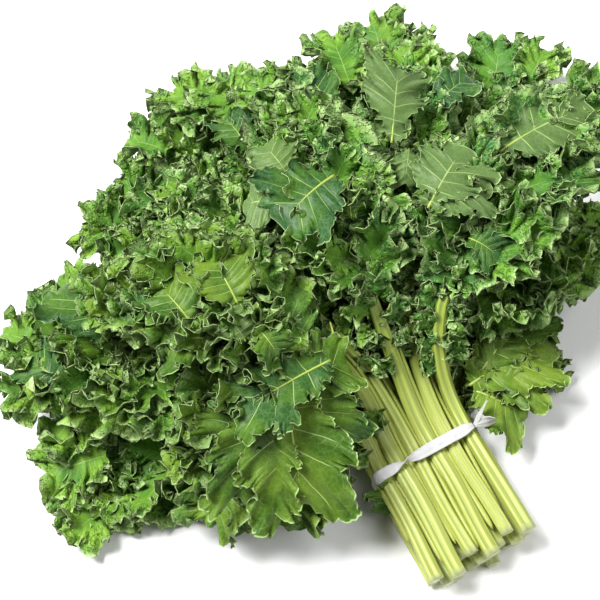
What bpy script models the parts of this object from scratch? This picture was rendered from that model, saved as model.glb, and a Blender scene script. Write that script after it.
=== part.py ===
# A bunch of curly kale lying on a flat surface: seventeen leaves, each a pale
# stem with a ruffled green blade, one small side leaf, and one white twist tie.
# Metres, +Z up. The origin is on the resting surface under the middle of the
# tie, and +Y runs from the cut ends towards the leaves.

import math

import bmesh
import bpy
import numpy as np

# The bundle of stems at the tie
STEM_HALF_WIDTH = 0.0054
STEM_HALF_HEIGHT = 0.0044
SLOT_PITCH = 0.0118
ROW_PITCH = 0.0088
ROW_SLOTS = (6, 5, 6)
STRAIGHT_PAST_TIE = 0.013
HEADING_CREEP = 0.22

# The stem along its length
BASE_SHARE = 0.80
RIB_END_HALF_WIDTH = 0.0012
RIB_END_HALF_HEIGHT = 0.0010
RIB_REACH = 0.88
JOINT_GAP = 0.0006
STEM_SIDES = 8
STEM_RINGS = 14
GROOVE_SHARE = 0.45

# The blade
BLADE_THICKNESS = 0.0008
BLADE_ROWS = 25
BLADE_COLUMNS = (0.0, 0.38, 0.72, 1.0)
OUTLINE_START = 0.16
VEIN_SWEEP = 1.35
OUTLINE_POWER = 0.78
BIG_WAVES = 3
BIG_WAVE_HEIGHT = 0.0045
BIG_WAVE_POWER = 1.5
SMALL_WAVES = 8
SMALL_WAVE_HEIGHT = 0.0040
SMALL_WAVE_POWER = 2.5
FULL_WAVE_WIDTH = 90
WAVE_SEED = 100
LOBE_DEPTH = 0.07

# The twist tie
TIE_WIDTH = 0.0075
TIE_THICKNESS = 0.0010
TIE_CLEARANCE = 0.0005
TIE_SLANT = math.radians(3.0)
TIE_STEPS = 44
TAIL_LENGTH = 0.017
TAIL_TURN = math.radians(70.0)
TAIL_STEPS = 5
TAIL_ROOT_SHARE = 0.35
TAIL_SINK = 0.0008
TAIL_SHOULDER = (0.80, 0.60)
TAIL_DIRECTIONS = ((0.75, -0.35, 0.62), (0.60, 0.45, 0.72))
NUDGE = math.radians(0.01)

ROUTE_STEP = 0.001
CREASE = math.radians(50.0)

STEM_COLOUR = (0.56, 0.66, 0.26)
LEAF_COLOUR = (0.12, 0.27, 0.06)
TIE_COLOUR = (0.90, 0.90, 0.88)

# Each leaf: its row and slot in the bundle, the heading of its blade from +Y
# in degrees (positive to the left), where past the tie its stem starts to turn
# and over what length, the distances from the tie to the blade's base and to
# its tip, the blade's width, the heights of the blade's base, middle and tip,
# how far its margins rise, its roll in degrees, how far its stem reaches behind
# the tie, and the stem's thickness as a share of the full one. Lengths are in
# millimetres.
LEAF_KEYS = (
    "row", "slot", "heading", "turn", "base", "tip", "width", "z", "cup", "roll", "below", "stoutness",
)
LEAF_TABLE = (
    (0, 0, 101, (13, 75), 70, 232, 82, (10, 10, 3), 2, 0, 70, 0.92),
    (0, 1, 58, (13, 85), 92, 272, 100, (20, 20, 5), 8, 0, 74, 0.9),
    (0, 2, 22, (13, 85), 96, 284, 96, (10, 8, 2), 2, 0, 72, 0.85),
    (0, 3, -12, (13, 85), 92, 296, 100, (17, 19, 5), 8, 0, 76, 0.95),
    (0, 4, -52, (13, 85), 94, 312, 100, (10, 8, 2), 2, 0, 70, 0.9),
    (0, 5, -121, (13, 52), 44, 114, 76, (10, 8, 3), 1, 0, 68, 0.75),
    (1, 0, 72, (13, 80), 86, 262, 104, (36, 42, 28), 2, 0, 76, 0.9),
    (1, 1, 37, (13, 85), 92, 260, 92, (46, 54, 42), 8, 0, 66, 0.8),
    (1, 2, 12, (13, 85), 104, 292, 98, (36, 42, 28), 2, 0, 73, 1.0),
    (1, 3, -30, (13, 85), 90, 300, 98, (42, 50, 38), 8, 0, 69, 0.88),
    (1, 4, -97, (13, 85), 76, 207, 94, (36, 44, 30), 2, 0, 72, 0.82),
    (2, 0, 100, (13, 50), 50, 146, 112, (52, 60, 47), 2, 16, 73, 0.85),
    (2, 1, 61, (20, 85), 86, 224, 90, (77, 89, 76), 27, 0, 76, 1.0),
    (2, 2, 30, (13, 85), 98, 240, 80, (62, 74, 60), 2, 0, 68, 0.78),
    (2, 3, -3, (13, 85), 88, 256, 84, (74, 88, 74), 27, 0, 74, 0.96),
    (2, 4, -33, (13, 85), 94, 262, 84, (62, 74, 60), 2, 0, 66, 0.84),
    (2, 5, -74, (13, 90), 78, 258, 96, (72, 86, 70), 24, 0, 71, 0.9),
)
LEAVES = [dict(zip(LEAF_KEYS, row)) for row in LEAF_TABLE]

# The small side leaf that stands out of the bundle's left flank behind the tie
LEAFLET = dict(base=0, tip=26, width=18, cup=2)
LEAFLET_START = (-0.0350, -0.0080, 0.0172)
LEAFLET_DIRECTION = (-0.62, -0.76, -0.20)
LEAFLET_ACROSS = (0.30, -0.10, 0.95)
MM = 0.001


def clear_scene():
    for obj in list(bpy.data.objects):
        bpy.data.objects.remove(obj)


def make_material(name, colour, roughness):
    material = bpy.data.materials.new(name)
    material.use_nodes = True
    shader = material.node_tree.nodes["Principled BSDF"]
    shader.inputs["Base Color"].default_value = (*colour, 1.0)
    shader.inputs["Roughness"].default_value = roughness
    shader.inputs["Metallic"].default_value = 0.0
    return material


def smooth_step(share):
    share = np.clip(share, 0.0, 1.0)
    return share * share * (3.0 - 2.0 * share)


def stem_centre(leaf):
    # Where the leaf's stem crosses the tie: (x, z) of its middle.
    slots = ROW_SLOTS[leaf["row"]]
    x = (leaf["slot"] - (slots - 1) / 2) * SLOT_PITCH
    lowest = TIE_THICKNESS + TIE_CLEARANCE + STEM_HALF_HEIGHT
    return x, lowest + leaf["row"] * ROW_PITCH


def stem_drop(half_height):
    # How far the stem's middle lies under the leaf's own surface line.
    return half_height + BLADE_THICKNESS / 2 + JOINT_GAP


def smooth_curve(knots, values, at):
    # A cubic through the knots whose slopes are those of its neighbours.
    slopes = np.gradient(values, knots)
    index = np.clip(np.searchsorted(knots, at) - 1, 0, len(knots) - 2)
    span = knots[index + 1] - knots[index]
    t = (at - knots[index]) / span
    return (
        (2 * t**3 - 3 * t**2 + 1) * values[index]
        + (t**3 - 2 * t**2 + t) * span * slopes[index]
        + (3 * t**2 - 2 * t**3) * values[index + 1]
        + (t**3 - t**2) * span * slopes[index + 1]
    )


def leaf_route(leaf):
    # The line along the top of the stem and the middle of the blade, with the
    # directions across and out of the blade at each of its points. Distance
    # runs from the cut end, below zero, through the tie, at zero, to the tip.
    x, z = stem_centre(leaf)
    base, tip = leaf["base"] * MM, leaf["tip"] * MM
    steps = int(round((tip + leaf["below"] * MM) / ROUTE_STEP)) + 1
    distance = np.linspace(-leaf["below"] * MM, tip, steps)
    turn_start, turn_length = (length * MM for length in leaf["turn"])
    turned = smooth_step((distance - turn_start) / turn_length)
    creep = HEADING_CREEP * np.clip((distance - base) / (tip - base), 0, 1)
    heading = math.radians(leaf["heading"]) * turned * (1 - HEADING_CREEP + creep)
    top = z + stem_drop(STEM_HALF_HEIGHT * leaf["stoutness"])
    middle = base + 0.5 * (tip - base)
    knots = np.array([-leaf["below"] * MM, -STRAIGHT_PAST_TIE, STRAIGHT_PAST_TIE, base, middle, tip])
    heights = np.array([top, top, top, *(h * MM for h in leaf["z"])])
    height = smooth_curve(knots, heights, distance)
    step = np.diff(distance, prepend=distance[0])
    points = np.stack(
        [np.cumsum(-np.sin(heading) * step), np.cumsum(np.cos(heading) * step), height], axis=1
    )
    at_tie = np.array([np.interp(0.0, distance, points[:, axis]) for axis in (0, 1)])
    points[:, :2] += np.array([x, 0.0]) - at_tie
    forward = np.gradient(points, distance, axis=0)
    forward /= np.linalg.norm(forward, axis=1, keepdims=True)
    flat = np.stack([np.cos(heading), np.sin(heading), np.zeros_like(heading)], axis=1)
    up = np.cross(flat, forward)
    roll = math.radians(leaf["roll"]) * smooth_step(distance / base)[:, None]
    across = flat * np.cos(roll) + up * np.sin(roll)
    out = up * np.cos(roll) - flat * np.sin(roll)
    return distance, points, across, out


def leaflet_route():
    # A straight line out of the flank, with the small blade standing on edge.
    distance = np.linspace(0.0, LEAFLET["tip"] * MM, LEAFLET["tip"] + 1)
    forward = np.array(LEAFLET_DIRECTION) / np.linalg.norm(LEAFLET_DIRECTION)
    across = np.array(LEAFLET_ACROSS) - forward * (forward @ LEAFLET_ACROSS)
    across /= np.linalg.norm(across)
    points = np.array(LEAFLET_START) + distance[:, None] * forward
    return distance, points, np.tile(across, (len(distance), 1)), np.tile(
        np.cross(across, forward), (len(distance), 1)
    )


def along_route(route, at):
    # The point, the direction across and the direction out at given distances.
    distance = route[0]
    return [
        np.stack([np.interp(at, distance, values[:, axis]) for axis in range(3)], axis=-1)
        for values in route[1:]
    ]


def stem_profile(leaf, distance):
    # Half width and half height of the stem, thinning to the midrib's end.
    base = leaf["base"] * MM
    rib_end = base + RIB_REACH * (leaf["tip"] - leaf["base"]) * MM
    knots = [-leaf["below"] * MM, STRAIGHT_PAST_TIE, base, rib_end]
    shares = [1.0, 1.0, BASE_SHARE, 0.0]
    share = np.interp(distance, knots, shares) * leaf["stoutness"]
    half_width = RIB_END_HALF_WIDTH + share * (STEM_HALF_WIDTH - RIB_END_HALF_WIDTH)
    half_height = RIB_END_HALF_HEIGHT + share * (STEM_HALF_HEIGHT - RIB_END_HALF_HEIGHT)
    return half_width, half_height


def tube_mesh(rings):
    # Faces of a closed tube through rings of points, with flat ends.
    count, sides = rings.shape[:2]
    faces = [tuple(range(sides)), tuple(reversed(range((count - 1) * sides, count * sides)))]
    for ring in range(count - 1):
        for side in range(sides):
            near, far = ring * sides, (ring + 1) * sides
            after = (side + 1) % sides
            faces.append((near + side, far + side, far + after, near + after))
    return rings.reshape(-1, 3), faces


def stem_mesh(leaf, route):
    # The petiole and midrib: rounded below, a little hollow on top.
    rib_end = (leaf["base"] + RIB_REACH * (leaf["tip"] - leaf["base"])) * MM
    distance = np.linspace(-leaf["below"] * MM, rib_end, STEM_RINGS)
    points, across, out = along_route(route, distance)
    half_width, half_height = stem_profile(leaf, distance)
    middle = points - out * stem_drop(half_height)[:, None]
    angle = 2 * math.pi * np.arange(STEM_SIDES) / STEM_SIDES
    sideways = np.cos(angle)[None, :, None] * half_width[:, None, None]
    rise = np.sin(angle)
    rise[np.argmax(rise)] -= GROOVE_SHARE
    upwards = rise[None, :, None] * half_height[:, None, None]
    return tube_mesh(middle[:, None] + sideways * across[:, None] + upwards * out[:, None])


def blade_plan(leaf):
    # The flat leaf: for each row, where its vein leaves the midrib and where
    # it meets the margin. Rows run up the left side and back down the right.
    length, half_width = (leaf["tip"] - leaf["base"]) * MM, leaf["width"] * MM / 2
    turn = OUTLINE_START + (math.pi - OUTLINE_START) * np.arange(BLADE_ROWS + 1) / BLADE_ROWS
    reach = (1 - np.cos(turn)) / 2
    foot = RIB_REACH * (turn / math.pi) ** VEIN_SWEEP
    share = np.arange(BLADE_ROWS + 1) / BLADE_ROWS
    lobes = 1 + LOBE_DEPTH * np.sin(2 * math.pi * SMALL_WAVES * share)
    margin = half_width * np.sin(turn) ** OUTLINE_POWER * lobes
    margin[-1] = 0.0
    return length * reach, margin, length * foot, share


def blade_waves(leaf, number, side, share, outwards):
    # Height of the ruffles over the leaf's own surface: a slow wave and a
    # quicker one, both growing towards the margin.
    rng = np.random.default_rng(WAVE_SEED + 2 * number + (side > 0))
    big_phase, small_phase = rng.uniform(0, 2 * math.pi, 2)
    big = np.sin(2 * math.pi * BIG_WAVES * share + big_phase) * outwards**BIG_WAVE_POWER
    small = np.sin(2 * math.pi * SMALL_WAVES * share + small_phase) * outwards**SMALL_WAVE_POWER
    fade = math.sqrt(abs(math.sin(math.pi * share))) * min(1.0, leaf["width"] / FULL_WAVE_WIDTH)
    return fade * (BIG_WAVE_HEIGHT * big + SMALL_WAVE_HEIGHT * small)


def blade_surface(leaf, number, route):
    # Middle surface of the blade as rows of points, and the index of each.
    reach, margin, foot, share = blade_plan(leaf)
    columns = np.array(BLADE_COLUMNS)
    points, index = [], np.zeros((2 * BLADE_ROWS + 1, len(columns)), int)
    count = 0
    for row in range(2 * BLADE_ROWS + 1):
        side = -1 if row <= BLADE_ROWS else 1
        step = row if side < 0 else 2 * BLADE_ROWS - row
        if side < 0:
            start = 0
        else:
            start = 1
            index[row, 0] = index[step, 0]
        out_share = columns[start:]
        forward = foot[step] + (reach[step] - foot[step]) * out_share
        sideways = side * margin[step] * out_share
        centre, across, out = along_route(route, leaf["base"] * MM + forward)
        height = leaf["cup"] * MM * (sideways / (leaf["width"] * MM / 2)) ** 2
        height = height + blade_waves(leaf, number, side, share[step], out_share)
        made = centre + sideways[:, None] * across + height[:, None] * out
        points.append(made)
        index[row, start:] = count + np.arange(len(made))
        count += len(made)
    return np.concatenate(points), index


def sheet_triangles(index):
    # Two triangles for each cell of the sheet, split the same way everywhere.
    a, b = index[:-1, :-1].ravel(), index[1:, :-1].ravel()
    c, d = index[1:, 1:].ravel(), index[:-1, 1:].ravel()
    return np.concatenate([np.stack([a, c, b], 1), np.stack([a, d, c], 1)])


def point_normals(points, triangles):
    corners = points[triangles]
    face = np.cross(corners[:, 1] - corners[:, 0], corners[:, 2] - corners[:, 0])
    normals = np.zeros_like(points)
    for corner in range(3):
        np.add.at(normals, triangles[:, corner], face)
    return normals / np.linalg.norm(normals, axis=1, keepdims=True)


def thick_sheet(points, triangles):
    # A closed solid from a sheet: its upper face, its lower face and a rim.
    normals = point_normals(points, triangles)
    upper = points + normals * BLADE_THICKNESS / 2
    lower = points - normals * BLADE_THICKNESS / 2
    lower[:, 2] = np.maximum(lower[:, 2], 0.0)
    upper[:, 2] = np.maximum(upper[:, 2], BLADE_THICKNESS)
    edges = np.concatenate([triangles[:, [0, 1]], triangles[:, [1, 2]], triangles[:, [2, 0]]])
    known = {tuple(edge) for edge in edges}
    rim = np.array([edge for edge in known if edge[::-1] not in known])
    rim = rim[np.lexsort((rim[:, 1], rim[:, 0]))]
    under = len(points)
    start, end = rim[:, 0], rim[:, 1]
    faces = np.concatenate(
        [
            triangles,
            triangles[:, ::-1] + under,
            np.stack([end, start, start + under], 1),
            np.stack([end, start + under, end + under], 1),
        ]
    )
    return np.concatenate([upper, lower]), faces


def blade_mesh(leaf, number, route):
    points, index = blade_surface(leaf, number, route)
    return thick_sheet(points, sheet_triangles(index))


def add_object(name, mesh_data, material):
    points, faces = mesh_data
    mesh = bpy.data.meshes.new(name)
    mesh.from_pydata([tuple(p) for p in points], [], [tuple(int(i) for i in f) for f in faces])
    shape = bmesh.new()
    shape.from_mesh(mesh)
    if shape.calc_volume(signed=True) < 0:
        bmesh.ops.reverse_faces(shape, faces=shape.faces)
    shape.to_mesh(mesh)
    shape.free()
    mesh.materials.append(material)
    mesh.shade_smooth()
    mesh.set_sharp_from_angle(angle=CREASE)
    obj = bpy.data.objects.new(name, mesh)
    bpy.context.scene.collection.objects.link(obj)
    return obj


def tie_outline(offset):
    # The closed line of a band pulled tight round the stems, held off them by
    # a given distance. It starts and ends under the two lowest outer stems.
    angle = np.linspace(NUDGE - math.pi / 2, 1.5 * math.pi - NUDGE, TIE_STEPS)
    facing = np.stack([np.cos(angle), np.sin(angle)], axis=1)
    radii = np.array([STEM_HALF_WIDTH, STEM_HALF_HEIGHT])
    touch = radii**2 * facing / np.linalg.norm(radii * facing, axis=1, keepdims=True)
    centres = np.array([stem_centre(leaf) for leaf in LEAVES])
    furthest = np.argmax(facing @ centres.T, axis=1)
    return centres[furthest] + touch + offset * facing


def tie_band():
    # The band itself: a flat ring of ribbon, a little slanted across the bundle.
    inner = tie_outline(TIE_CLEARANCE)
    outer = tie_outline(TIE_CLEARANCE + TIE_THICKNESS)
    rings = []
    for line, edge in ((outer, -1), (outer, 1), (inner, 1), (inner, -1)):
        along = line[:, 0] * math.tan(TIE_SLANT) + edge * TIE_WIDTH / 2
        rings.append(np.stack([line[:, 0], along, line[:, 1]], axis=1))
    rings = np.stack(rings, axis=1)
    count, sides = rings.shape[:2]
    faces = []
    for ring in range(count):
        near, far = ring * sides, ((ring + 1) % count) * sides
        for side in range(sides):
            after = (side + 1) % sides
            faces.append((near + side, far + side, far + after, near + after))
    return rings.reshape(-1, 3), faces


def tie_tail(start, direction, flat, turn):
    # One free end of the ribbon, narrowing where it is twisted at its root.
    rings = []
    for step in range(TAIL_STEPS + 1):
        share = step / TAIL_STEPS
        angle = turn * share
        side = flat * math.cos(angle) + np.cross(direction, flat) * math.sin(angle)
        thick = np.cross(direction, side)
        half = TIE_WIDTH / 2 * (TAIL_ROOT_SHARE + (1 - TAIL_ROOT_SHARE) * share)
        centre = start + direction * TAIL_LENGTH * share
        rings.append(
            [
                centre + side * half * u + thick * TIE_THICKNESS / 2 * v
                for u, v in ((-1, -1), (1, -1), (1, 1), (-1, 1))
            ]
        )
    return tube_mesh(np.array(rings))


def join_by_union(name, pieces, material):
    # One closed body from a few that overlap.
    helpers = bpy.data.collections.new(name + "_pieces")
    for piece in pieces[1:]:
        bpy.context.scene.collection.objects.unlink(piece)
        helpers.objects.link(piece)
    body = pieces[0]
    union = body.modifiers.new("union", "BOOLEAN")
    union.operation = "UNION"
    union.operand_type = "COLLECTION"
    union.collection = helpers
    union.solver = "EXACT"
    graph = bpy.context.evaluated_depsgraph_get()
    mesh = bpy.data.meshes.new_from_object(body.evaluated_get(graph))
    body.modifiers.clear()
    body.data = mesh
    body.name = name
    for piece in list(helpers.objects):
        bpy.data.objects.remove(piece)
    bpy.data.collections.remove(helpers)
    return body


def make_tie(material):
    # The band and its two twisted ends, which stand up at the right shoulder.
    outline = tie_outline(TIE_CLEARANCE + TIE_THICKNESS / 2)
    shoulder = outline[np.argmax(outline @ np.array(TAIL_SHOULDER))]
    root = np.array([shoulder[0], shoulder[0] * math.tan(TIE_SLANT), shoulder[1]])
    flat = np.array([0.0, 1.0, 0.0])
    tails = []
    for towards, turn in zip(TAIL_DIRECTIONS, (TAIL_TURN, -TAIL_TURN)):
        direction = np.array(towards) / np.linalg.norm(towards)
        side = flat - direction * (flat @ direction)
        side /= np.linalg.norm(side)
        start = root - direction * TAIL_SINK
        tails.append(add_object("tail", tie_tail(start, direction, side, turn), material))
    band = add_object("band", tie_band(), material)
    return join_by_union("twist_tie", [band, *tails], material)


def main():
    clear_scene()
    stem_material = make_material("stem", STEM_COLOUR, 0.45)
    leaf_material = make_material("leaf", LEAF_COLOUR, 0.5)
    tie_material = make_material("tie", TIE_COLOUR, 0.6)
    for number, leaf in enumerate(LEAVES, start=1):
        route = leaf_route(leaf)
        add_object(f"leaf_{number:02d}_stem", stem_mesh(leaf, route), stem_material)
        add_object(f"leaf_{number:02d}_blade", blade_mesh(leaf, number, route), leaf_material)
    leaflet = blade_mesh(LEAFLET, len(LEAVES) + 1, leaflet_route())
    add_object("side_leaflet", leaflet, leaf_material)
    make_tie(tie_material)


main()
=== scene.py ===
import math

import bpy
import numpy as np
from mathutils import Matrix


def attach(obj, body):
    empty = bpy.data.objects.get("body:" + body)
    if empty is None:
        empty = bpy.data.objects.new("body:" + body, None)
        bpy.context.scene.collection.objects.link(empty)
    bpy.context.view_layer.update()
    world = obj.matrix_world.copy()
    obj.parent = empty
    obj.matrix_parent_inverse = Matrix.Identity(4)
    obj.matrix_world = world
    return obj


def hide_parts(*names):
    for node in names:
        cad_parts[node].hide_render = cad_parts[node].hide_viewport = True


# A bunch of curly kale lying on a pale floor, seen from above its cut ends.
# Metres, +Z up, and +Y runs from the cut ends towards the leaves.

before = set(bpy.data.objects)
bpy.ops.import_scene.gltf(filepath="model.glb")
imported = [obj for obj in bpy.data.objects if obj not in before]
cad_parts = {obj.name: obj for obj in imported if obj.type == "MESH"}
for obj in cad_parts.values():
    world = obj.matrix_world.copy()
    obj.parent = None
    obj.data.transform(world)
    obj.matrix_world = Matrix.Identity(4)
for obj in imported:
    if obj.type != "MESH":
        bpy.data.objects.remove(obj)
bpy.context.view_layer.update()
print("frame loaded")
mm = 0.001

# How the stems are bundled and how each leaf bends out of the bundle.
bunch = {
    "stemHalfWidth": 0.0054,
    "stemHalfHeight": 0.0044,
    "slotPitch": 0.0118,
    "rowPitch": 0.0088,
    "rowSlots": (6, 5, 6),
    "tieThickness": 0.0010,
    "tieClearance": 0.0005,
    "tieSlant": 3.0,
    "straightPastTie": 0.013,
    "headingCreep": 0.22,
    "baseShare": 0.80,
    "ribEndHalfWidth": 0.0012,
    "ribEndHalfHeight": 0.0010,
    "ribReach": 0.88,
    "bladeThickness": 0.0008,
    "jointGap": 0.0006,
    "routeStep": 0.001,
}

# Row and slot in the bundle, heading, where the stem turns and over what
# length, distances from the tie to the blade's base and tip, blade width,
# heights of base, middle and tip, rise of the margins, roll, the length behind
# the tie and the stem's thickness as a share, in millimetres and degrees. Then
# the look: how strongly the leaf is ruffled, how bluish and how yellow it is,
# its lobes a side, outer, inner and along the petiole, and the sides with lobes.
leafKeys = (
    "row", "slot", "heading", "turn", "base", "tip", "width", "z", "cup", "roll", "below", "stoutness",
    "ruffle", "bloom", "fresh", "lobes", "inner", "petiole", "sides",
)
both = (-1.0, 1.0)
leafTable = (
    (0, 0, 101, (13, 75), 70, 232, 82, (10, 10, 3), 2, 0, 70, 0.92, 0.8, 0.3, 0.5, 5, 0, 2, both),
    (0, 1, 58, (13, 85), 92, 272, 100, (20, 20, 5), 8, 0, 74, 0.9, 0.8, 0.4, 0.4, 6, 0, 2, both),
    (0, 2, 22, (13, 85), 96, 284, 96, (10, 8, 2), 2, 0, 72, 0.85, 0.8, 0.4, 0.3, 6, 0, 2, both),
    (0, 3, -12, (13, 85), 92, 296, 100, (17, 19, 5), 8, 0, 76, 0.95, 0.8, 0.4, 0.3, 6, 0, 2, both),
    (0, 4, -52, (13, 85), 94, 312, 100, (10, 8, 2), 2, 0, 70, 0.9, 0.8, 0.6, 0.2, 6, 0, 2, both),
    (0, 5, -121, (13, 52), 44, 114, 76, (10, 8, 3), 1, 0, 68, 0.75, 0.5, 0.0, 2.2, 4, 0, 2, both),
    (1, 0, 72, (13, 80), 86, 262, 104, (36, 42, 28), 2, 0, 76, 0.9, 0.9, 0.3, 0.6, 7, 2, 4, both),
    (1, 1, 37, (13, 85), 92, 260, 92, (46, 54, 42), 8, 0, 66, 0.8, 0.9, 0.4, 0.5, 7, 2, 4, both),
    (1, 2, 12, (13, 85), 104, 292, 98, (36, 42, 28), 2, 0, 73, 1.0, 0.9, 0.4, 0.4, 7, 2, 4, both),
    (1, 3, -30, (13, 85), 90, 300, 98, (42, 50, 38), 8, 0, 69, 0.88, 0.9, 0.6, 0.3, 7, 2, 4, both),
    (1, 4, -97, (13, 85), 76, 207, 94, (36, 44, 30), 2, 0, 72, 0.82, 0.9, 0.4, 0.4, 6, 2, 4, both),
    (2, 0, 100, (13, 50), 50, 146, 112, (52, 60, 47), 2, 16, 73, 0.85, 0.6, 0.2, 0.7, 6, 0, 2, (1.0,)),
    (2, 1, 61, (20, 85), 86, 224, 90, (77, 89, 76), 27, 0, 76, 1.0, 0.8, 0.2, 0.7, 8, 4, 0, both),
    (2, 2, 30, (13, 85), 98, 240, 80, (62, 74, 60), 2, 0, 68, 0.78, 0.8, 0.5, 0.3, 8, 4, 3, both),
    (2, 3, -3, (13, 85), 88, 256, 84, (74, 88, 74), 27, 0, 74, 0.96, 0.8, 0.5, 0.1, 8, 4, 3, both),
    (2, 4, -33, (13, 85), 94, 262, 84, (62, 74, 60), 2, 0, 66, 0.84, 0.8, 0.5, 0.1, 8, 4, 3, both),
    (2, 5, -74, (13, 90), 78, 258, 96, (72, 86, 70), 24, 0, 71, 0.9, 0.8, 0.6, 0.0, 8, 4, 5, both),
)
leaves = [dict(zip(leafKeys, row)) for row in leafTable]

# The camera, set as the photo was taken. Its scale is in millimetres a pixel
# of the photo at the aim, and its origin is the pixel where the origin falls.
cameraForm = {
    "azimuth": -27.0,
    "elevation": 65.0,
    "distance": 1.15,
    "aim": (-0.020, 0.105, 0.035),
    "lens": 111.3,
    "sensor": 36.0,
    "shift": (-0.0300, 0.0319),
    "scale": 0.62,
    "origin": (424, 467),
}


# The directions from the aim to the camera, to its right and up.
def cameraAxes():
    azimuth, elevation = math.radians(cameraForm["azimuth"]), math.radians(cameraForm["elevation"])
    level = math.cos(elevation)
    back = np.array([math.sin(azimuth) * level, -math.cos(azimuth) * level, math.sin(elevation)])
    right = np.array([math.cos(azimuth), math.sin(azimuth), 0.0])
    return back, right, np.cross(back, right)


# The place in whole millimetres that is seen at a pixel of the photo and lies
# at some height: the ray from the camera through the pixel, cut at the height.
def placeSeen(column, row, height):
    back, right, up = cameraAxes()
    aim, distance = np.array(cameraForm["aim"]) / mm, cameraForm["distance"] / mm
    origin = -aim / (distance + aim @ back)
    atColumn, atRow = cameraForm["origin"]
    x = origin @ right + (column - atColumn) * cameraForm["scale"] / distance
    y = origin @ up + (atRow - row) * cameraForm["scale"] / distance
    ray = right * x + up * y - back
    camera = aim + back * distance
    return np.round(camera + ray * (height - camera[2]) / ray[2])


# Broad smooth lobes that lie open on top of the frills: the leaf they grow from, where their start and end
# are seen, as column and row in the photo and height in millimetres, width, rise of the middle, turn about
# their own midrib (180 shows the underside), then bloom and freshness.
openKeys = ("leaf", "start", "end", "width", "arch", "turn", "bloom", "fresh")
openTable = (
    (12, (282, 382, 79), (306, 530, 38), 64, 13, 0, 0.1, 0.9),
    (12, (262, 398, 77), (250, 522, 42), 50, 12, 8, 0.2, 0.8),
    (12, (256, 404, 76), (204, 478, 46), 42, 10, 8, 0.4, 0.6),
    (12, (296, 378, 74), (346, 456, 47), 42, 8, -8, 0.4, 0.6),
    (12, (294, 382, 76), (352, 362, 66), 40, 4, 0, 0.0, 0.9),
    (12, (264, 400, 78), (216, 376, 76), 36, 5, 0, 1.3, 0.0),
    (12, (330, 360, 83), (226, 422, 83), 46, 4, 0, 0.7, 0.3),
    (13, (206, 338, 101), (156, 350, 96), 40, 5, 0, 0.1, 0.9),
    (13, (192, 325, 104), (158, 286, 100), 34, 5, 0, 0.3, 0.8),
    (13, (238, 304, 105), (212, 260, 103), 40, 6, 0, 0.1, 1.1),
    (13, (245, 342, 103), (220, 310, 103), 32, 5, 180, 0.0, 1.0),
    (15, (334, 176, 111), (280, 226, 106), 54, 6, 0, 1.4, 0.0),
    (15, (278, 204, 107), (240, 208, 100), 44, 5, 180, 0.2, 0.6),
    (15, (290, 178, 111), (262, 146, 106), 30, 5, 180, 0.0, 1.0),
    (16, (392, 142, 106), (400, 58, 96), 40, 6, 160, 0.2, 0.5),
    (16, (410, 148, 102), (404, 190, 95), 20, 5, 180, 0.2, 0.5),
    (17, (427, 208, 110), (466, 146, 108), 46, 5, 180, 0.3, 0.5),
    (17, (429, 206, 110), (492, 186, 103), 34, 5, 180, 0.3, 0.5),
    (17, (498, 152, 102), (592, 108, 91), 46, 8, 180, 0.3, 0.5),
    (6, (470, 386, 24), (548, 342, 22), 54, 5, 0, 0.0, 1.6),
    (6, (474, 390, 23), (534, 422, 14), 46, 5, 0, 0.0, 1.8),
    (6, (480, 372, 26), (538, 296, 24), 42, 5, 0, 0.2, 1.3),
    (6, (480, 386, 24), (546, 386, 18), 34, 5, 0, 0.0, 1.8),
    (7, (108, 342, 64), (64, 286, 58), 44, 6, 0, 0.8, 0.2),
    (14, (252, 154, 74), (220, 114, 68), 26, 4, 10, 1.1, 0.0),
    (15, (334, 112, 86), (302, 72, 78), 26, 4, -10, 1.1, 0.0),
    (16, (352, 218, 104), (346, 182, 102), 22, 4, 0, 0.4, 0.9),
    (14, (184, 216, 66), (148, 190, 56), 26, 4, 15, 0.7, 0.1),
    (8, (172, 250, 62), (136, 268, 54), 24, 4, -15, 0.9, 0.0),
    (17, (556, 206, 98), (590, 168, 90), 26, 4, 10, 0.8, 0.1),
    (17, (468, 238, 94), (504, 262, 86), 24, 4, -10, 1.0, 0.0),
    (16, (436, 104, 92), (470, 78, 82), 24, 4, 10, 1.1, 0.0),
    (7, (64, 384, 46), (26, 360, 38), 26, 4, 10, 0.9, 0.0),
    (13, (152, 302, 98), (116, 322, 88), 26, 4, -10, 0.6, 0.2),
    (13, (260, 330, 104), (282, 362, 96), 24, 4, 10, 0.2, 0.6),
    (0, (402, 486, 20), (378, 514, 10), 24, 3, 30, 0.0, 0.2),
    (0, (400, 488, 19), (392, 520, 8), 18, 3, -20, 0.0, 0.3),
)
openLobes = [dict(zip(openKeys, row)) for row in openTable]

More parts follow.
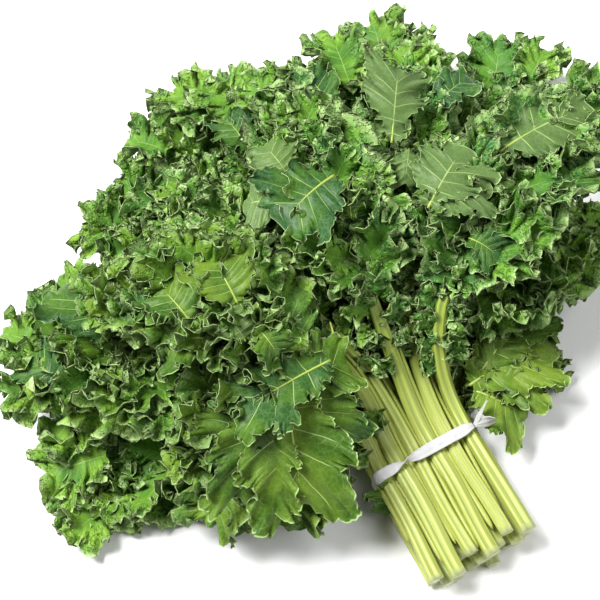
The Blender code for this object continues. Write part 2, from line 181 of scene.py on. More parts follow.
# Ruffled lobes that fill out the edges of the bunch, in the same way.
patchTable = (
    (1, (112, 426, 26), (36, 428, 14), 50, 4, 0, 0.3, 0.6),
    (1, (108, 455, 22), (40, 480, 12), 46, 4, 10, 0.3, 0.6),
    (14, (252, 128, 66), (208, 82, 54), 46, 6, 0, 0.4, 0.5),
    (14, (225, 122, 60), (166, 90, 46), 42, 6, 0, 0.4, 0.5),
    (15, (352, 92, 70), (328, 34, 60), 38, 6, 0, 0.4, 0.5),
    (12, (236, 468, 42), (204, 536, 24), 42, 4, 0, 0.3, 0.9),
    (12, (262, 478, 38), (238, 528, 26), 36, 4, 0, 0.2, 1.0),
    (12, (302, 478, 36), (288, 532, 24), 42, 4, 0, 0.1, 1.2),
    (12, (318, 462, 36), (328, 498, 28), 32, 4, 0, 0.1, 1.0),
    (7, (92, 296, 42), (56, 282, 34), 30, 4, 0, 0.4, 0.5),
    (8, (168, 152, 50), (126, 142, 42), 30, 4, 0, 0.4, 0.4),
    (7, (36, 346, 36), (2, 334, 30), 28, 4, 0, 0.4, 0.5),
    (17, (528, 84, 86), (548, 46, 78), 28, 4, 0, 0.5, 0.4),
)
patchLobes = [dict(zip(openKeys, row)) for row in patchTable]

# Leaves whose frills are smoother than the rest, as a share of an open lobe's.
frontSmoothness = {6: 0.6, 7: 0.2, 12: 0.6, 13: 0.35}


def smoothStep(share):
    share = np.clip(share, 0.0, 1.0)
    return share * share * (3.0 - 2.0 * share)


def unit(vectors):
    return vectors / np.maximum(np.linalg.norm(vectors, axis=-1, keepdims=True), 1e-12)


def stemCentre(leaf):
    slots = bunch["rowSlots"][leaf["row"]]
    lowest = bunch["tieThickness"] + bunch["tieClearance"] + bunch["stemHalfHeight"]
    return (leaf["slot"] - (slots - 1) / 2) * bunch["slotPitch"], lowest + leaf["row"] * bunch["rowPitch"]


def stemDrop(halfHeight):
    return halfHeight + bunch["bladeThickness"] / 2 + bunch["jointGap"]


# A cubic through the knots whose slopes are those of its neighbours.
def smoothCurve(knots, values, at):
    slopes = np.gradient(values, knots)
    index = np.clip(np.searchsorted(knots, at) - 1, 0, len(knots) - 2)
    span = knots[index + 1] - knots[index]
    t = (at - knots[index]) / span
    return (
        (2 * t**3 - 3 * t**2 + 1) * values[index]
        + (t**3 - 2 * t**2 + t) * span * slopes[index]
        + (3 * t**2 - 2 * t**3) * values[index + 1]
        + (t**3 - t**2) * span * slopes[index + 1]
    )


# The line along the top of a stem and the middle of its blade: the heading
# turns by a smooth step past the tie, the plan is the running sum of the
# heading's sine and cosine, and the height is a cubic through five knots.
def leafRoute(leaf):
    x, z = stemCentre(leaf)
    base, tip = leaf["base"] * mm, leaf["tip"] * mm
    steps = int(round((tip + leaf["below"] * mm) / bunch["routeStep"])) + 1
    distance = np.linspace(-leaf["below"] * mm, tip, steps)
    turnStart, turnLength = (length * mm for length in leaf["turn"])
    turned = smoothStep((distance - turnStart) / turnLength)
    creep = bunch["headingCreep"] * np.clip((distance - base) / (tip - base), 0, 1)
    heading = math.radians(leaf["heading"]) * turned * (1 - bunch["headingCreep"] + creep)
    top = z + stemDrop(bunch["stemHalfHeight"] * leaf["stoutness"])
    straight = bunch["straightPastTie"]
    knots = np.array([-leaf["below"] * mm, -straight, straight, base, base + 0.5 * (tip - base), tip])
    heights = np.array([top, top, top, *(h * mm for h in leaf["z"])])
    step = np.diff(distance, prepend=distance[0])
    points = np.stack(
        [
            np.cumsum(-np.sin(heading) * step),
            np.cumsum(np.cos(heading) * step),
            smoothCurve(knots, heights, distance),
        ],
        axis=1,
    )
    atTie = np.array([np.interp(0.0, distance, points[:, axis]) for axis in (0, 1)])
    points[:, :2] += np.array([x, 0.0]) - atTie
    forward = unit(np.gradient(points, distance, axis=0))
    flat = np.stack([np.cos(heading), np.sin(heading), np.zeros_like(heading)], axis=1)
    up = np.cross(flat, forward)
    roll = math.radians(leaf["roll"]) * smoothStep(distance / base)[:, None]
    across = flat * np.cos(roll) + up * np.sin(roll)
    out = up * np.cos(roll) - flat * np.sin(roll)
    return distance, points, across, out


def alongRoute(route, at):
    return [
        np.stack([np.interp(at, route[0], values[:, axis]) for axis in range(3)], axis=-1)
        for values in route[1:]
    ]


# Where the random draws of each kind of part begin.
seeds = {
    "bladeFrills": 1000,
    "lobes": 500,
    "lobeLooks": 700,
    "lobeFrills": (100000, 1000),
    "tipFrills": 90000,
    "openFrills": 9000000,
    "patchFrills": 9500000,
    "notches": 50,
    "teeth": 90,
    "stems": 3000,
    "shoots": 4000,
    "ribbon": 71,
    "tails": 80,
}
wanderSpeeds = (0.21, 0.37, 0.61)


# A smooth random line in share: the mean of sines of unlike speeds and phases.
def wander(rng, share, speed):
    total = np.zeros_like(share)
    for part in wanderSpeeds:
        total += np.sin(2 * math.pi * (speed * part * share + rng.uniform())) / len(wanderSpeeds)
    return total


def makeMesh(name, points, faces, values):
    mesh = bpy.data.meshes.new(name)
    sizes = np.concatenate([np.full(len(part), part.shape[1]) for part in faces])
    corners = np.concatenate([part.ravel() for part in faces])
    mesh.vertices.add(len(points))
    mesh.vertices.foreach_set("co", points.astype(np.float32).ravel())
    mesh.loops.add(len(corners))
    mesh.loops.foreach_set("vertex_index", corners.astype(np.int32))
    mesh.polygons.add(len(sizes))
    mesh.polygons.foreach_set("loop_start", np.concatenate([[0], np.cumsum(sizes)[:-1]]).astype(np.int32))
    mesh.polygons.foreach_set("use_smooth", np.ones(len(sizes), bool))
    mesh.update(calc_edges=True)
    mesh.validate()
    for title, data in values.items():
        if data.ndim == 1:
            attribute = mesh.attributes.new(title, "FLOAT", "POINT")
            attribute.data.foreach_set("value", data.astype(np.float32))
        else:
            attribute = mesh.attributes.new(title, "FLOAT_VECTOR", "POINT")
            attribute.data.foreach_set("vector", data.astype(np.float32).ravel())
    obj = bpy.data.objects.new(name, mesh)
    bpy.context.scene.collection.objects.link(obj)
    return obj


# The blade: one broad sheet a leaf, as in the frame, and the frilled lobes that
# grow from its midrib and stand over it. Lengths are in metres, but
# fullWaveWidth is in millimetres like the leaf table's widths.
bladeForm = {
    "outlineStart": 0.16,
    "veinSweep": 1.35,
    "outlinePower": 0.78,
    "bigWaves": 3,
    "bigWaveHeight": 0.0045,
    "bigWavePower": 1.5,
    "smallWaves": 8,
    "smallWaveHeight": 0.0040,
    "smallWavePower": 2.5,
    "fullWaveWidth": 90,
    "waveSeed": 100,
    "lobeDepth": 0.07,
    "thickness": 0.00055,
    "edgeThickness": 0.00030,
    "softFloor": 0.0035,
    "floorGap": 0.0003,
    "steps": 104,
    # Frills a side, height, how late they grow, share of a frill they lean
    # along the margin, and how far they scallop it.
    "frills": (
        (8, 0.0050, 2.0, 0.10, 0.0),
        (20, 0.0040, 3.0, 0.14, 0.3),
    ),
    "trail": 1.3,
    "teeth": 0.0006,
    "veins": 9,
    "quilt": 0.0010,
    "columns": ((0.0, 4), (0.14, 4), (0.32, 4), (0.52, 2), (0.70, 2), (0.84, 1), (0.94, 1), (1.0, 1)),
    "share": 0.88,
}

# The lobes' frills are given by their length along the margin instead.
lobeForm = {
    "outlineStart": 0.20,
    "veinSweep": 1.1,
    "outlinePower": 0.70,
    "reach": 0.72,
    "tip": 0.19,
    "fan": 0.75,
    "length": 0.92,
    "width": 0.95,
    "rise": (0.15, 0.76),
    "roll": 48,
    "marginShare": 1.75,
    "stepLength": 0.00085,
    "notches": (4, 0.26),
    "notchPull": 0.6,
    "dish": 0.10,
    "frills": (
        (0.0280, 0.0040, 1.4, 0.12, 0.0),
        (0.0118, 0.0052, 1.9, 0.22, 0.20),
        (0.0054, 0.0025, 3.0, 0.18, 0.40),
        (0.0030, 0.0007, 5.0, 0.10, 0.30),
    ),
    "trail": 2.6,
    "teeth": 0.0003,
    "veins": 7,
    "quilt": 0.0008,
    "columns": ((0.0, 4), (0.34, 4), (0.58, 2), (0.78, 1), (0.91, 1), (1.0, 1)),
}

openForm = {
    **lobeForm,
    "outlinePower": 0.62,
    "fan": 1.1,
    "notches": (3, 0.28),
    "frills": (
        (0.0360, 0.0026, 2.0, 0.05, 0.0),
        (0.0110, 0.0022, 7.0, 0.10, 0.8),
        (0.0048, 0.0013, 10.0, 0.10, 0.7),
    ),
    "veins": 5,
    "quilt": 0.0014,
    "columns": ((0.0, 4), (0.22, 4), (0.46, 2), (0.68, 2), (0.82, 1), (0.92, 1), (1.0, 1)),
}


# A form with the rows and frills that suit one lobe's length.
def sizedForm(form, length, coarse=1.0):
    margin = form["marginShare"] * length
    frills = tuple(
        (margin / wave, size * min(1.0, length / wave), power, lean, scallop)
        for wave, size, power, lean, scallop in form["frills"]
    )
    return {**form, "steps": 4 * max(5, round(margin / (coarse * form["stepLength"]) / 4)), "frills": frills}


# Outline of a flat sheet: reach is a cosine and margin a power of a sine of
# one angle that runs from the sheet's base to its tip.
def sheetPlan(form, share, reachOfRib, lobes):
    turn = form["outlineStart"] + (math.pi - form["outlineStart"]) * share
    reach = (1 - np.cos(turn)) / 2
    foot = reachOfRib * (turn / math.pi) ** form["veinSweep"]
    margin = np.abs(np.sin(turn)) ** form["outlinePower"] * lobes
    return reach, np.where(share >= 1.0, 0.0, margin), foot


def gridNormals(grid, steps):
    normals = np.cross(np.gradient(grid, axis=0), np.gradient(grid, axis=1))
    spine = unit(normals[: steps + 1, 0] + normals[: steps - 1 : -1, 0])
    normals[: steps + 1, 0] = spine
    normals[steps:, 0] = spine[::-1]
    return unit(normals)


# Rows go up the left margin and back down the right one, so each grid has the
# share along the margin and the side of each row, and its columns outwards.
def sheetRows(form):
    steps = form["steps"]
    share = np.concatenate([np.arange(steps + 1), np.arange(steps - 1, -1, -1)]) / steps
    side = np.where(np.arange(2 * steps + 1) > steps, 1.0, -1.0)
    columns = np.array([column for column, stride in form["columns"]])
    return share, side, columns


# How frills fade at a sheet's two ends, how unevenly they run and swell, how
# far they sway along the margin, and how near it its small teeth stay.
frillForm = {
    "baseFade": 12,
    "tipFade": 18,
    "tipLeast": 0.15,
    "drift": 2.4,
    "swell": (0.95, 0.8, 1.4),
    "sway": 1.2,
    "teethPower": 14,
    "teethLimit": 0.0016,
}


# Each frill moves the points along the surface's own normal by a sine of the
# place along the margin, growing as a power of the place across, along the
# margin by a sine of twice that, so the folds lean over, and outwards by the
# size of a cosine of half that, so the margin is a row of round scallops.
# Teeth are small random steps of the margin itself.
def addFrills(grid, form, share, side, columns, seed, length, ruffle, phases):
    steps = form["steps"]
    ends = smoothStep(share * frillForm["baseFade"])
    ends = ends * smoothStep((1.0 - share) * frillForm["tipFade"] + frillForm["tipLeast"])
    usual, swing, swellSpeed = frillForm["swell"]
    for level, (count, size, power, lean, scallop) in enumerate(form["frills"]):
        normals = gridNormals(grid, steps)
        along = unit(np.gradient(grid, axis=0))
        outwards = unit(np.gradient(grid, axis=1))
        angle = np.zeros(2 * steps + 1)
        strength = np.zeros(2 * steps + 1)
        for part in (-1.0, 1.0):
            mask = side == part
            rng = np.random.default_rng(seed + 7 * level + int(part > 0))
            place = share[mask]
            start = phases[part] if level == 0 and phases else rng.uniform(0, 2 * math.pi)
            loose = 0.0 if level == 0 and phases else frillForm["drift"]
            angle[mask] = 2 * math.pi * count * place + start + loose * wander(rng, place, count)
            strength[mask] = usual + swing * wander(rng, place, swellSpeed * count)
        wave = angle[:, None] + (form["trail"] * (1 - columns) if level else 0.0)
        rise = ruffle * size * (ends * strength)[:, None] * columns**power
        sway = ruffle * lean * (frillForm["sway"] * length / count) * (ends * side)[:, None] * columns**power
        grid = (
            grid
            + (rise * np.sin(wave))[..., None] * normals
            + (sway * np.sin(2 * wave))[..., None] * along
            + (scallop * rise * (2 * np.abs(np.cos(wave / 2)) - 1))[..., None] * outwards
        )
    rng = np.random.default_rng(seed + seeds["teeth"])
    nearMargin = ends[:, None] * columns ** frillForm["teethPower"]
    jitter = rng.normal(size=grid.shape) * form["teeth"] * nearMargin[..., None]
    return grid + np.clip(jitter, -frillForm["teethLimit"], frillForm["teethLimit"])


# Between its side veins the sheet is puffed up: a squared cosine along the
# margin, whose zeros are the veins, times half a sine across.
def quilted(form, share, columns):
    puff = np.cos(math.pi * form["veins"] * share)[:, None] ** 2
    return form["quilt"] * puff * np.sin(math.pi * columns)


# The broad sheet: each point is the route's point at its distance, plus its
# sideways share of the margin along the route's across, plus a height along
# its out: a parabola across the leaf and two sines along the margin.
def broadGrid(leaf, number, route):
    form = bladeForm
    share, side, columns = sheetRows(form)
    length, halfWidth = (leaf["tip"] - leaf["base"]) * mm, leaf["width"] * mm / 2
    lobes = 1 + form["lobeDepth"] * np.sin(2 * math.pi * form["smallWaves"] * share)
    reach, margin, foot = sheetPlan(form, share, bunch["ribReach"], lobes)
    slow, quick = np.zeros(len(share)), np.zeros(len(share))
    phases = {}
    for part in (-1.0, 1.0):
        rng = np.random.default_rng(form["waveSeed"] + 2 * number + int(part > 0))
        bigPhase, phases[part] = rng.uniform(0, 2 * math.pi, 2)
        mask = side == part
        slow[mask] = np.sin(2 * math.pi * form["bigWaves"] * share[mask] + bigPhase)
        quick[mask] = np.sin(2 * math.pi * form["smallWaves"] * share[mask] + phases[part])
    forward = form["share"] * length * (foot[:, None] + (reach - foot)[:, None] * columns)
    sideways = form["share"] * halfWidth * (side * margin)[:, None] * columns
    centre, across, out = alongRoute(route, leaf["base"] * mm + forward)
    fade = np.sqrt(np.abs(np.sin(math.pi * share)))[:, None]
    fade = fade * min(1.0, leaf["width"] / form["fullWaveWidth"])
    height = leaf["cup"] * mm * (sideways / halfWidth) ** 2
    height = height + fade * (
        form["bigWaveHeight"] * slow[:, None] * columns ** form["bigWavePower"]
        + form["smallWaveHeight"] * quick[:, None] * columns ** form["smallWavePower"]
    )
    height = height + quilted(form, share, columns)
    grid = centre + sideways[..., None] * across + height[..., None] * out
    seed = seeds["bladeFrills"] * number
    return addFrills(grid, form, share, side, columns, seed, length, leaf["ruffle"], phases)


# The directions across and out along a line of points, turned about it.
def framedRoute(points, out, length, angle):
    forward = unit(np.gradient(points, axis=0))
    flat = unit(np.cross(forward, out))
    up = np.cross(flat, forward)
    across = flat * np.cos(angle) + up * np.sin(angle)
    return np.linspace(0.0, length, len(points)), points, across, up * np.cos(angle) - flat * np.sin(angle)


# How lobes stand on a leaf: how they take turns along it, how long, wide and
# steep they are, and where those of the petiole and the tip differ. Angles are
# in degrees, lengths in metres or as shares of the blade's.
lobePlan = {
    "points": 30,
    "bend": 0.22,
    "risePower": 1.5,
    "footLift": 0.0012,
    "sunkAside": 0.8,
    "turns": 0.25,
    "stray": 0.15,
    "outerFeet": (0.04, 0.80),
    "innerFeet": (0.12, 0.62),
    "innerLength": 0.66,
    "innerRise": 0.35,
    "outlinePower": 0.6,
    "lengths": (0.86, 1.08),
    "shortest": 0.022,
    "widths": (0.9, 1.25),
    "slants": (74, 44, 10),
    "twists": (-25, 45),
    "petioleFeet": 0.042,
    "petioleLengths": (0.008, 0.011, 0.009),
    "lowCoarse": 1.45,
    "tipFoot": 0.78,
    "tipWidth": 1.1,
    "tipTwist": 0.3,
    "tips": ((0.35, 0.10), (-0.30, 0.34)),
    "blooms": (0.2, 1.3),
    "freshness": (-0.3, 0.3),
}


# A lobe's own midrib: a straight run out of the leaf's midrib at an angle,
# that bends forward by a square and rises by a power of the distance. Its
# blade turns about that line at a steady rate. One that is sunk starts from
# the flank of the petiole.
def lobeRoute(leaf, route, foot, side, slant, length, rise, roll, twist, sunk):
    (point,), (across,), (out,) = alongRoute(route, np.array([foot]))
    ahead = np.cross(out, across)
    lift = lobePlan["footLift"]
    run = np.linspace(0.0, 1.0, lobePlan["points"])[:, None]
    heading = math.cos(slant) * ahead + side * math.sin(slant) * across
    if sunk:
        wide, high = stemProfile(leaf, foot)
        point = point + side * lobePlan["sunkAside"] * wide * across - (stemDrop(high) + lift) * out
    points = (
        point
        + run * length * heading
        + lobePlan["bend"] * length * run**2 * ahead
        + (rise * length * run ** lobePlan["risePower"] + lift) * out
    )
    return framedRoute(points, out, length, roll + twist * run)


# An open lobe's midrib: a straight line, raised in the middle by a parabola.
def openRoute(lobe):
    start, end = placeSeen(*lobe["start"]) * mm, placeSeen(*lobe["end"]) * mm
    run = np.linspace(0.0, 1.0, lobePlan["points"])[:, None]
    up = np.array([0.0, 0.0, 1.0])
    points = start + run * (end - start) + 4 * lobe["arch"] * mm * run * (1 - run) * up
    return framedRoute(points, up, np.linalg.norm(end - start), math.radians(lobe["turn"]))


# A lobe is a fan: its margin also widens with the reach.
def lobeGrid(form, route, length, width, seed, ruffle):
    share, side, columns = sheetRows(form)
    count, depth = form["notches"]
    start = np.random.default_rng(seed + seeds["notches"]).uniform(0, 2 * math.pi)
    notch = depth * (0.5 + 0.5 * np.cos(2 * math.pi * count * share + start)) ** 2
    reach, margin, foot = sheetPlan(form, share, form["reach"], 1 - notch)
    margin = margin * (1 - form["fan"] / 2 + form["fan"] * reach)
    forward = length * (foot[:, None] + (reach - foot)[:, None] * columns)
    forward = forward * (1 - form["notchPull"] * notch[:, None] * columns)
    sideways = width / 2 * (side * margin)[:, None] * columns
    centre, across, out = alongRoute(route, forward)
    height = form["dish"] * width * (2 * sideways / width) ** 2 + quilted(form, share, columns)
    grid = centre + sideways[..., None] * across + height[..., None] * out
    return addFrills(grid, form, share, side, columns, seed, length, ruffle, None)


# The lobes of one leaf. They leave the midrib in turn on both sides, wider
# spread at the base than at the tip, a few short ones stand further in, and
# small ones run down the petiole. Each is its form and its grid.
def leafLobes(leaf, number, route):
    plan = lobePlan
    rng = np.random.default_rng(seeds["lobes"] + number)
    ofLeaf, ofLobe = seeds["lobeFrills"]
    base, length = leaf["base"] * mm, (leaf["tip"] - leaf["base"]) * mm
    begin = bladeForm["outlineStart"]
    widest, perPlace, stray = plan["slants"]
    made = []
    for tier, count in enumerate((leaf["lobes"], leaf["inner"], leaf["petiole"])):
        first, reach = plan["outerFeet"] if tier == 0 else plan["innerFeet"]
        for index in range(count):
            for side in leaf["sides"] if tier < 2 else both:
                spot = index + 0.5 + plan["turns"] * side + rng.uniform(-plan["stray"], plan["stray"])
                spot = spot / count
                foot = base + length * (first + reach * spot)
                outline = begin + (1 - begin) * min(begin + (foot - base) / length, 1.0)
                local = math.sin(math.pi * outline) ** plan["outlinePower"]
                long = lobeForm["length"] * leaf["width"] * mm / 2 * local * rng.uniform(*plan["lengths"])
                long = max(long, plan["shortest"]) * (1.0 if tier == 0 else plan["innerLength"])
                slant = math.radians(widest - perPlace * spot + rng.uniform(-stray, stray))
                rise = rng.uniform(*lobeForm["rise"]) * leaf["ruffle"] + plan["innerRise"] * (tier == 1)
                roll = side * math.radians(rng.uniform(-lobeForm["roll"], lobeForm["roll"]))
                twist = side * math.radians(rng.uniform(*plan["twists"]))
                if tier == 2:
                    least, most, growth = plan["petioleLengths"]
                    foot = base - plan["petioleFeet"] * (1 - spot)
                    long = rng.uniform(least, most) + growth * spot
                path = lobeRoute(leaf, route, foot, side, slant, long, rise, roll, twist, tier == 2)
                seed = ofLeaf * number + ofLobe * len(made)
                form = sizedForm(lobeForm, long, plan["lowCoarse"] if leaf["row"] == 0 else 1.0)
                width = form["width"] * long * rng.uniform(*plan["widths"])
                made.append((form, lobeGrid(form, path, long, width, seed, 1.0)))
    long = lobeForm["tip"] * length
    form = sizedForm(lobeForm, long)
    for place, (slant, rise) in enumerate(plan["tips"]):
        foot = base + plan["tipFoot"] * length
        path = lobeRoute(leaf, route, foot, 1.0, slant, long, rise, 0.0, plan["tipTwist"], False)
        seed = ofLeaf * number + seeds["tipFrills"] + ofLobe * place
        made.append((form, lobeGrid(form, path, long, plan["tipWidth"] * long, seed, 1.0)))
    return made


# The open lobes of one leaf and the ruffled ones at the edges of the bunch.
def openSheets(number):
    made = []
    for title, kind, lobes in (("openFrills", openForm, openLobes), ("patchFrills", lobeForm, patchLobes)):
        for place, lobe in enumerate(lobes):
            if lobe["leaf"] == number:
                path = openRoute(lobe)
                length = path[0][-1]
                form = sizedForm(kind, length)
                seed = seeds[title] + seeds["lobeFrills"][1] * place
                grid = lobeGrid(form, path, length, lobe["width"] * mm, seed, 1.0)
                smooth = 1.0 if kind is openForm else frontSmoothness.get(number, 0.0)
                made.append(closeSheet(form, grid, lobe["bloom"], lobe["fresh"], smooth))
    return made


# Faces between a grid's columns: one cell a row near the margin, one for two
# or four rows further in, and fans where these meet.
def sheetFaces(form):
    steps = form["steps"]
    strides = [stride for column, stride in form["columns"]]
    rows = 2 * steps + 1
    number = np.arange(rows * len(strides)).reshape(rows, len(strides))
    number[steps + 1 :, 0] = number[:steps, 0][::-1]
    quads, fans = [], []
    for column in range(len(strides) - 1):
        near, far = strides[column], strides[column + 1]
        inner, outer = number[::near, column], number[::far, column + 1]
        if near == far:
            quads.append(np.stack([inner[:-1], inner[1:], outer[1:], outer[:-1]], 1))
        else:
            fans.append(np.stack([inner[:-1], outer[1:-1:2], outer[:-2:2]], 1))
            fans.append(np.stack([inner[:-1], inner[1:], outer[1:-1:2]], 1))
            fans.append(np.stack([inner[1:], outer[2::2], outer[1:-1:2]], 1))
    rim = np.concatenate([number[0, :], number[1:, -1], number[-1, -2::-1]])
    return np.concatenate(quads), np.concatenate(fans), rim


# A closed sheet from a grid: upper face, lower face and rim.
def closeSheet(form, grid, bloom, fresh, openness):
    share, side, columns = sheetRows(form)
    normals = gridNormals(grid, form["steps"])
    thick = bladeForm["thickness"] + (bladeForm["edgeThickness"] - bladeForm["thickness"]) * columns**3
    offset = normals * (thick / 2)[None, :, None]
    points = np.concatenate([(grid + offset).reshape(-1, 3), (grid - offset).reshape(-1, 3)])
    quads, fans, rim = sheetFaces(form)
    total = len(points) // 2
    edge = np.stack([rim[1:], rim[:-1], rim[:-1] + total, rim[1:] + total], 1)
    soft = bladeForm["softFloor"]
    low = points[:, 2] < soft
    points[low, 2] = soft * np.exp((points[low, 2] - soft) / soft)
    points[:total, 2] += np.where(low[:total], bladeForm["floorGap"], 0.0)
    along, out = np.repeat(share, len(columns)), np.tile(columns, len(share))
    place = np.stack([along, out, np.full(total, form["veins"])], 1)
    look = np.tile([bloom, fresh, 0.0], (2 * total, 1))
    look[total:, 2] = 1.0
    quads = np.concatenate([quads, quads[:, ::-1] + total, edge])
    faces = [quads, np.concatenate([fans, fans[:, ::-1] + total])]
    used = np.zeros(2 * total, bool)
    for part in faces:
        used[part.ravel()] = True
    renumber = np.cumsum(used) - 1
    place = np.concatenate([place, place])
    return points[used], [renumber[part] for part in faces], place[used], look[used], openness


def joinSheets(name, sheets, material):
    shift = np.cumsum([0] + [len(sheet[0]) for sheet in sheets[:-1]])
    faces = [np.concatenate([sheet[1][kind] + by for sheet, by in zip(sheets, shift)]) for kind in (0, 1)]
    values = {
        "leafPlace": np.concatenate([sheet[2] for sheet in sheets]),
        "leafLook": np.concatenate([sheet[3] for sheet in sheets]),
        "openSheet": np.concatenate([np.full(len(sheet[0]), float(sheet[4])) for sheet in sheets]),
    }
    blade = makeMesh(name, np.concatenate([sheet[0] for sheet in sheets]), faces, values)
    blade.data.materials.append(material)
    return blade


def makeBlade(name, leaf, number, route, material):
    rng = np.random.default_rng(seeds["lobeLooks"] + number)
    smooth = frontSmoothness.get(number, 0.0)
    sheets = [closeSheet(bladeForm, broadGrid(leaf, number, route), leaf["bloom"], leaf["fresh"], smooth)]
    for form, grid in leafLobes(leaf, number, route):
        bloom = leaf["bloom"] * rng.uniform(*lobePlan["blooms"])
        fresh = leaf["fresh"] + rng.uniform(*lobePlan["freshness"])
        sheets.append(closeSheet(form, grid, bloom, fresh, smooth))
    return joinSheets(name, sheets + openSheets(number), material)


# The stem and midrib: a ring carried along the route. The ring is an ellipse
# with ribs, pressed in on top, and it thins towards the midrib's end. Its
# middle and its thickness wander a little, and it splays behind the tie.
stemForm = {
    "sides": 22,
    "rings": 60,
    "grooveShare": 0.36,
    "ribs": ((6, 0.11), (14, 0.03)),
    "wander": 0.0009,
    "uneven": 0.10,
    "splay": 0.05,
    "splayLength": 0.07,
    "grooveWidth": 0.42,
    "wanderLength": 0.1,
    "bendSpeed": 2.2,
    "unevenSpeed": 1.8,
}


def stemProfile(leaf, distance):
    base = leaf["base"] * mm
    ribEnd = base + bunch["ribReach"] * (leaf["tip"] - leaf["base"]) * mm
    knots = [-leaf["below"] * mm, bunch["straightPastTie"], base, ribEnd]
    share = np.interp(distance, knots, [1.0, 1.0, bunch["baseShare"], 0.0]) * leaf["stoutness"]
    wide = bunch["ribEndHalfWidth"] + share * (bunch["stemHalfWidth"] - bunch["ribEndHalfWidth"])
    high = bunch["ribEndHalfHeight"] + share * (bunch["stemHalfHeight"] - bunch["ribEndHalfHeight"])
    return wide, high


# A closed tube through rings of points, with a middle point in either end.
def closeTube(rings):
    count, sides = rings.shape[:2]
    number = np.arange(count * sides).reshape(count, sides)
    after = np.roll(number, -1, axis=1)
    quads = np.stack([number[:-1], number[1:], after[1:], after[:-1]], -1).reshape(-1, 4)
    last = count * sides
    caps = np.concatenate(
        [
            np.stack([number[0], after[0], np.full(sides, last)], 1),
            np.stack([after[-1], number[-1], np.full(sides, last + 1)], 1),
        ]
    )
    return np.concatenate([rings.reshape(-1, 3), rings[:1].mean(1), rings[-1:].mean(1)]), quads, caps


# Rings along a line: each is the line's point plus one share of the width
# across it and another of the height up from it.
def ringsAlong(points, across, up, ringAcross, ringUp, wide, high):
    return (
        points[:, None]
        + (ringAcross * wide[:, None])[..., None] * across[:, None]
        + (ringUp * high[:, None])[..., None] * up[:, None]
    )


# A round thin tube with its place and look for the stem material.
def thinTube(points, across, up, thick, sides, green):
    angle = 2 * math.pi * np.arange(sides) / sides
    tube = closeTube(ringsAlong(points, across, up, np.cos(angle), np.sin(angle), thick, thick))
    place = np.zeros((len(tube[0]), 3))
    place[:, 0] = green
    return tube, place, np.zeros((len(tube[0]), 3))


def joinTubes(name, tubes, values, material):
    shift = np.cumsum([0] + [len(tube[0]) for tube in tubes[:-1]])
    faces = [np.concatenate([tube[kind] + by for tube, by in zip(tubes, shift)]) for kind in (1, 2)]
    made = makeMesh(name, np.concatenate([tube[0] for tube in tubes]), faces, values)
    made.data.materials.append(material)
    return made


def stemTube(leaf, number, route):
    form = stemForm
    ribEnd = (leaf["base"] + bunch["ribReach"] * (leaf["tip"] - leaf["base"])) * mm
    start = -leaf["below"] * mm
    distance = np.linspace(start, ribEnd, form["rings"])
    centre, across, out = alongRoute(route, distance)
    wide, high = stemProfile(leaf, distance)
    rng = np.random.default_rng(seeds["stems"] + number)
    angle = 2 * math.pi * np.arange(form["sides"]) / form["sides"]
    ridge = np.zeros(form["sides"])
    for count, depth in form["ribs"]:
        ridge += depth * (1 + np.cos(count * angle + rng.uniform(0, 2 * math.pi))) / 2
    groove = form["grooveShare"] * np.exp(-(((angle - math.pi / 2) / form["grooveWidth"]) ** 2))
    run = distance / form["wanderLength"]
    bend = [form["wander"] * wander(rng, run, form["bendSpeed"]) for axis in range(3)]
    grown = 1 + form["uneven"] * wander(rng, run, form["unevenSpeed"])
    splay = form["splay"] * stemCentre(leaf)[0] * np.maximum(-distance, 0.0) / form["splayLength"]
    middle = centre - out * stemDrop(high)[:, None] + np.stack(bend, 1) + splay[:, None] * across
    ringAcross, ringUp = np.cos(angle) * (1 - ridge), np.sin(angle) * (1 - ridge) - groove
    rings = ringsAlong(middle, across, out, ringAcross, ringUp, wide * grown, high * grown)
    along = np.repeat(distance, form["sides"])
    count = len(distance)
    place = np.stack([along, np.tile(np.cos(angle), count), np.tile(np.sin(angle), count)], 1)
    ends = np.array([[distance[0], 0.0, 0.0], [distance[-1], 0.0, 0.0]])
    look = np.zeros((len(place), 3))
    look[:, 0] = along <= start
    # The second look value marks the grooves between ribs, where the stem material paints shade.
    look[:, 1] = np.tile(ridge / ridge.max(), count)
    look[:, 2] = rng.uniform()
    return closeTube(rings), np.concatenate([place, ends]), np.concatenate([look, [[1, 0, 0], [0, 0, 0]]])


# Bare side veins that stand out of a petiole: the distance of each foot from
# the tie, its side, its length and how far it bends forward, in millimetres.
bareVeins = (
    (13, 62, -1, 17, 3), (13, 67, -1, 22, 5), (13, 73, -1, 24, 8), (13, 79, -1, 20, 10), (13, 70, 1, 12, 5),
    (15, 66, -1, 11, 4), (15, 74, 1, 12, 5), (16, 70, 1, 13, 5), (14, 72, -1, 12, 5), (17, 60, 1, 12, 4),
)
veinForm = {
    "points": 14,
    "sides": 8,
    "sunk": 0.6,
    "aside": 0.4,
    "forward": 0.5,
    "arch": 0.12,
    "halfWidth": 0.0011,
    "taper": 0.0006,
}


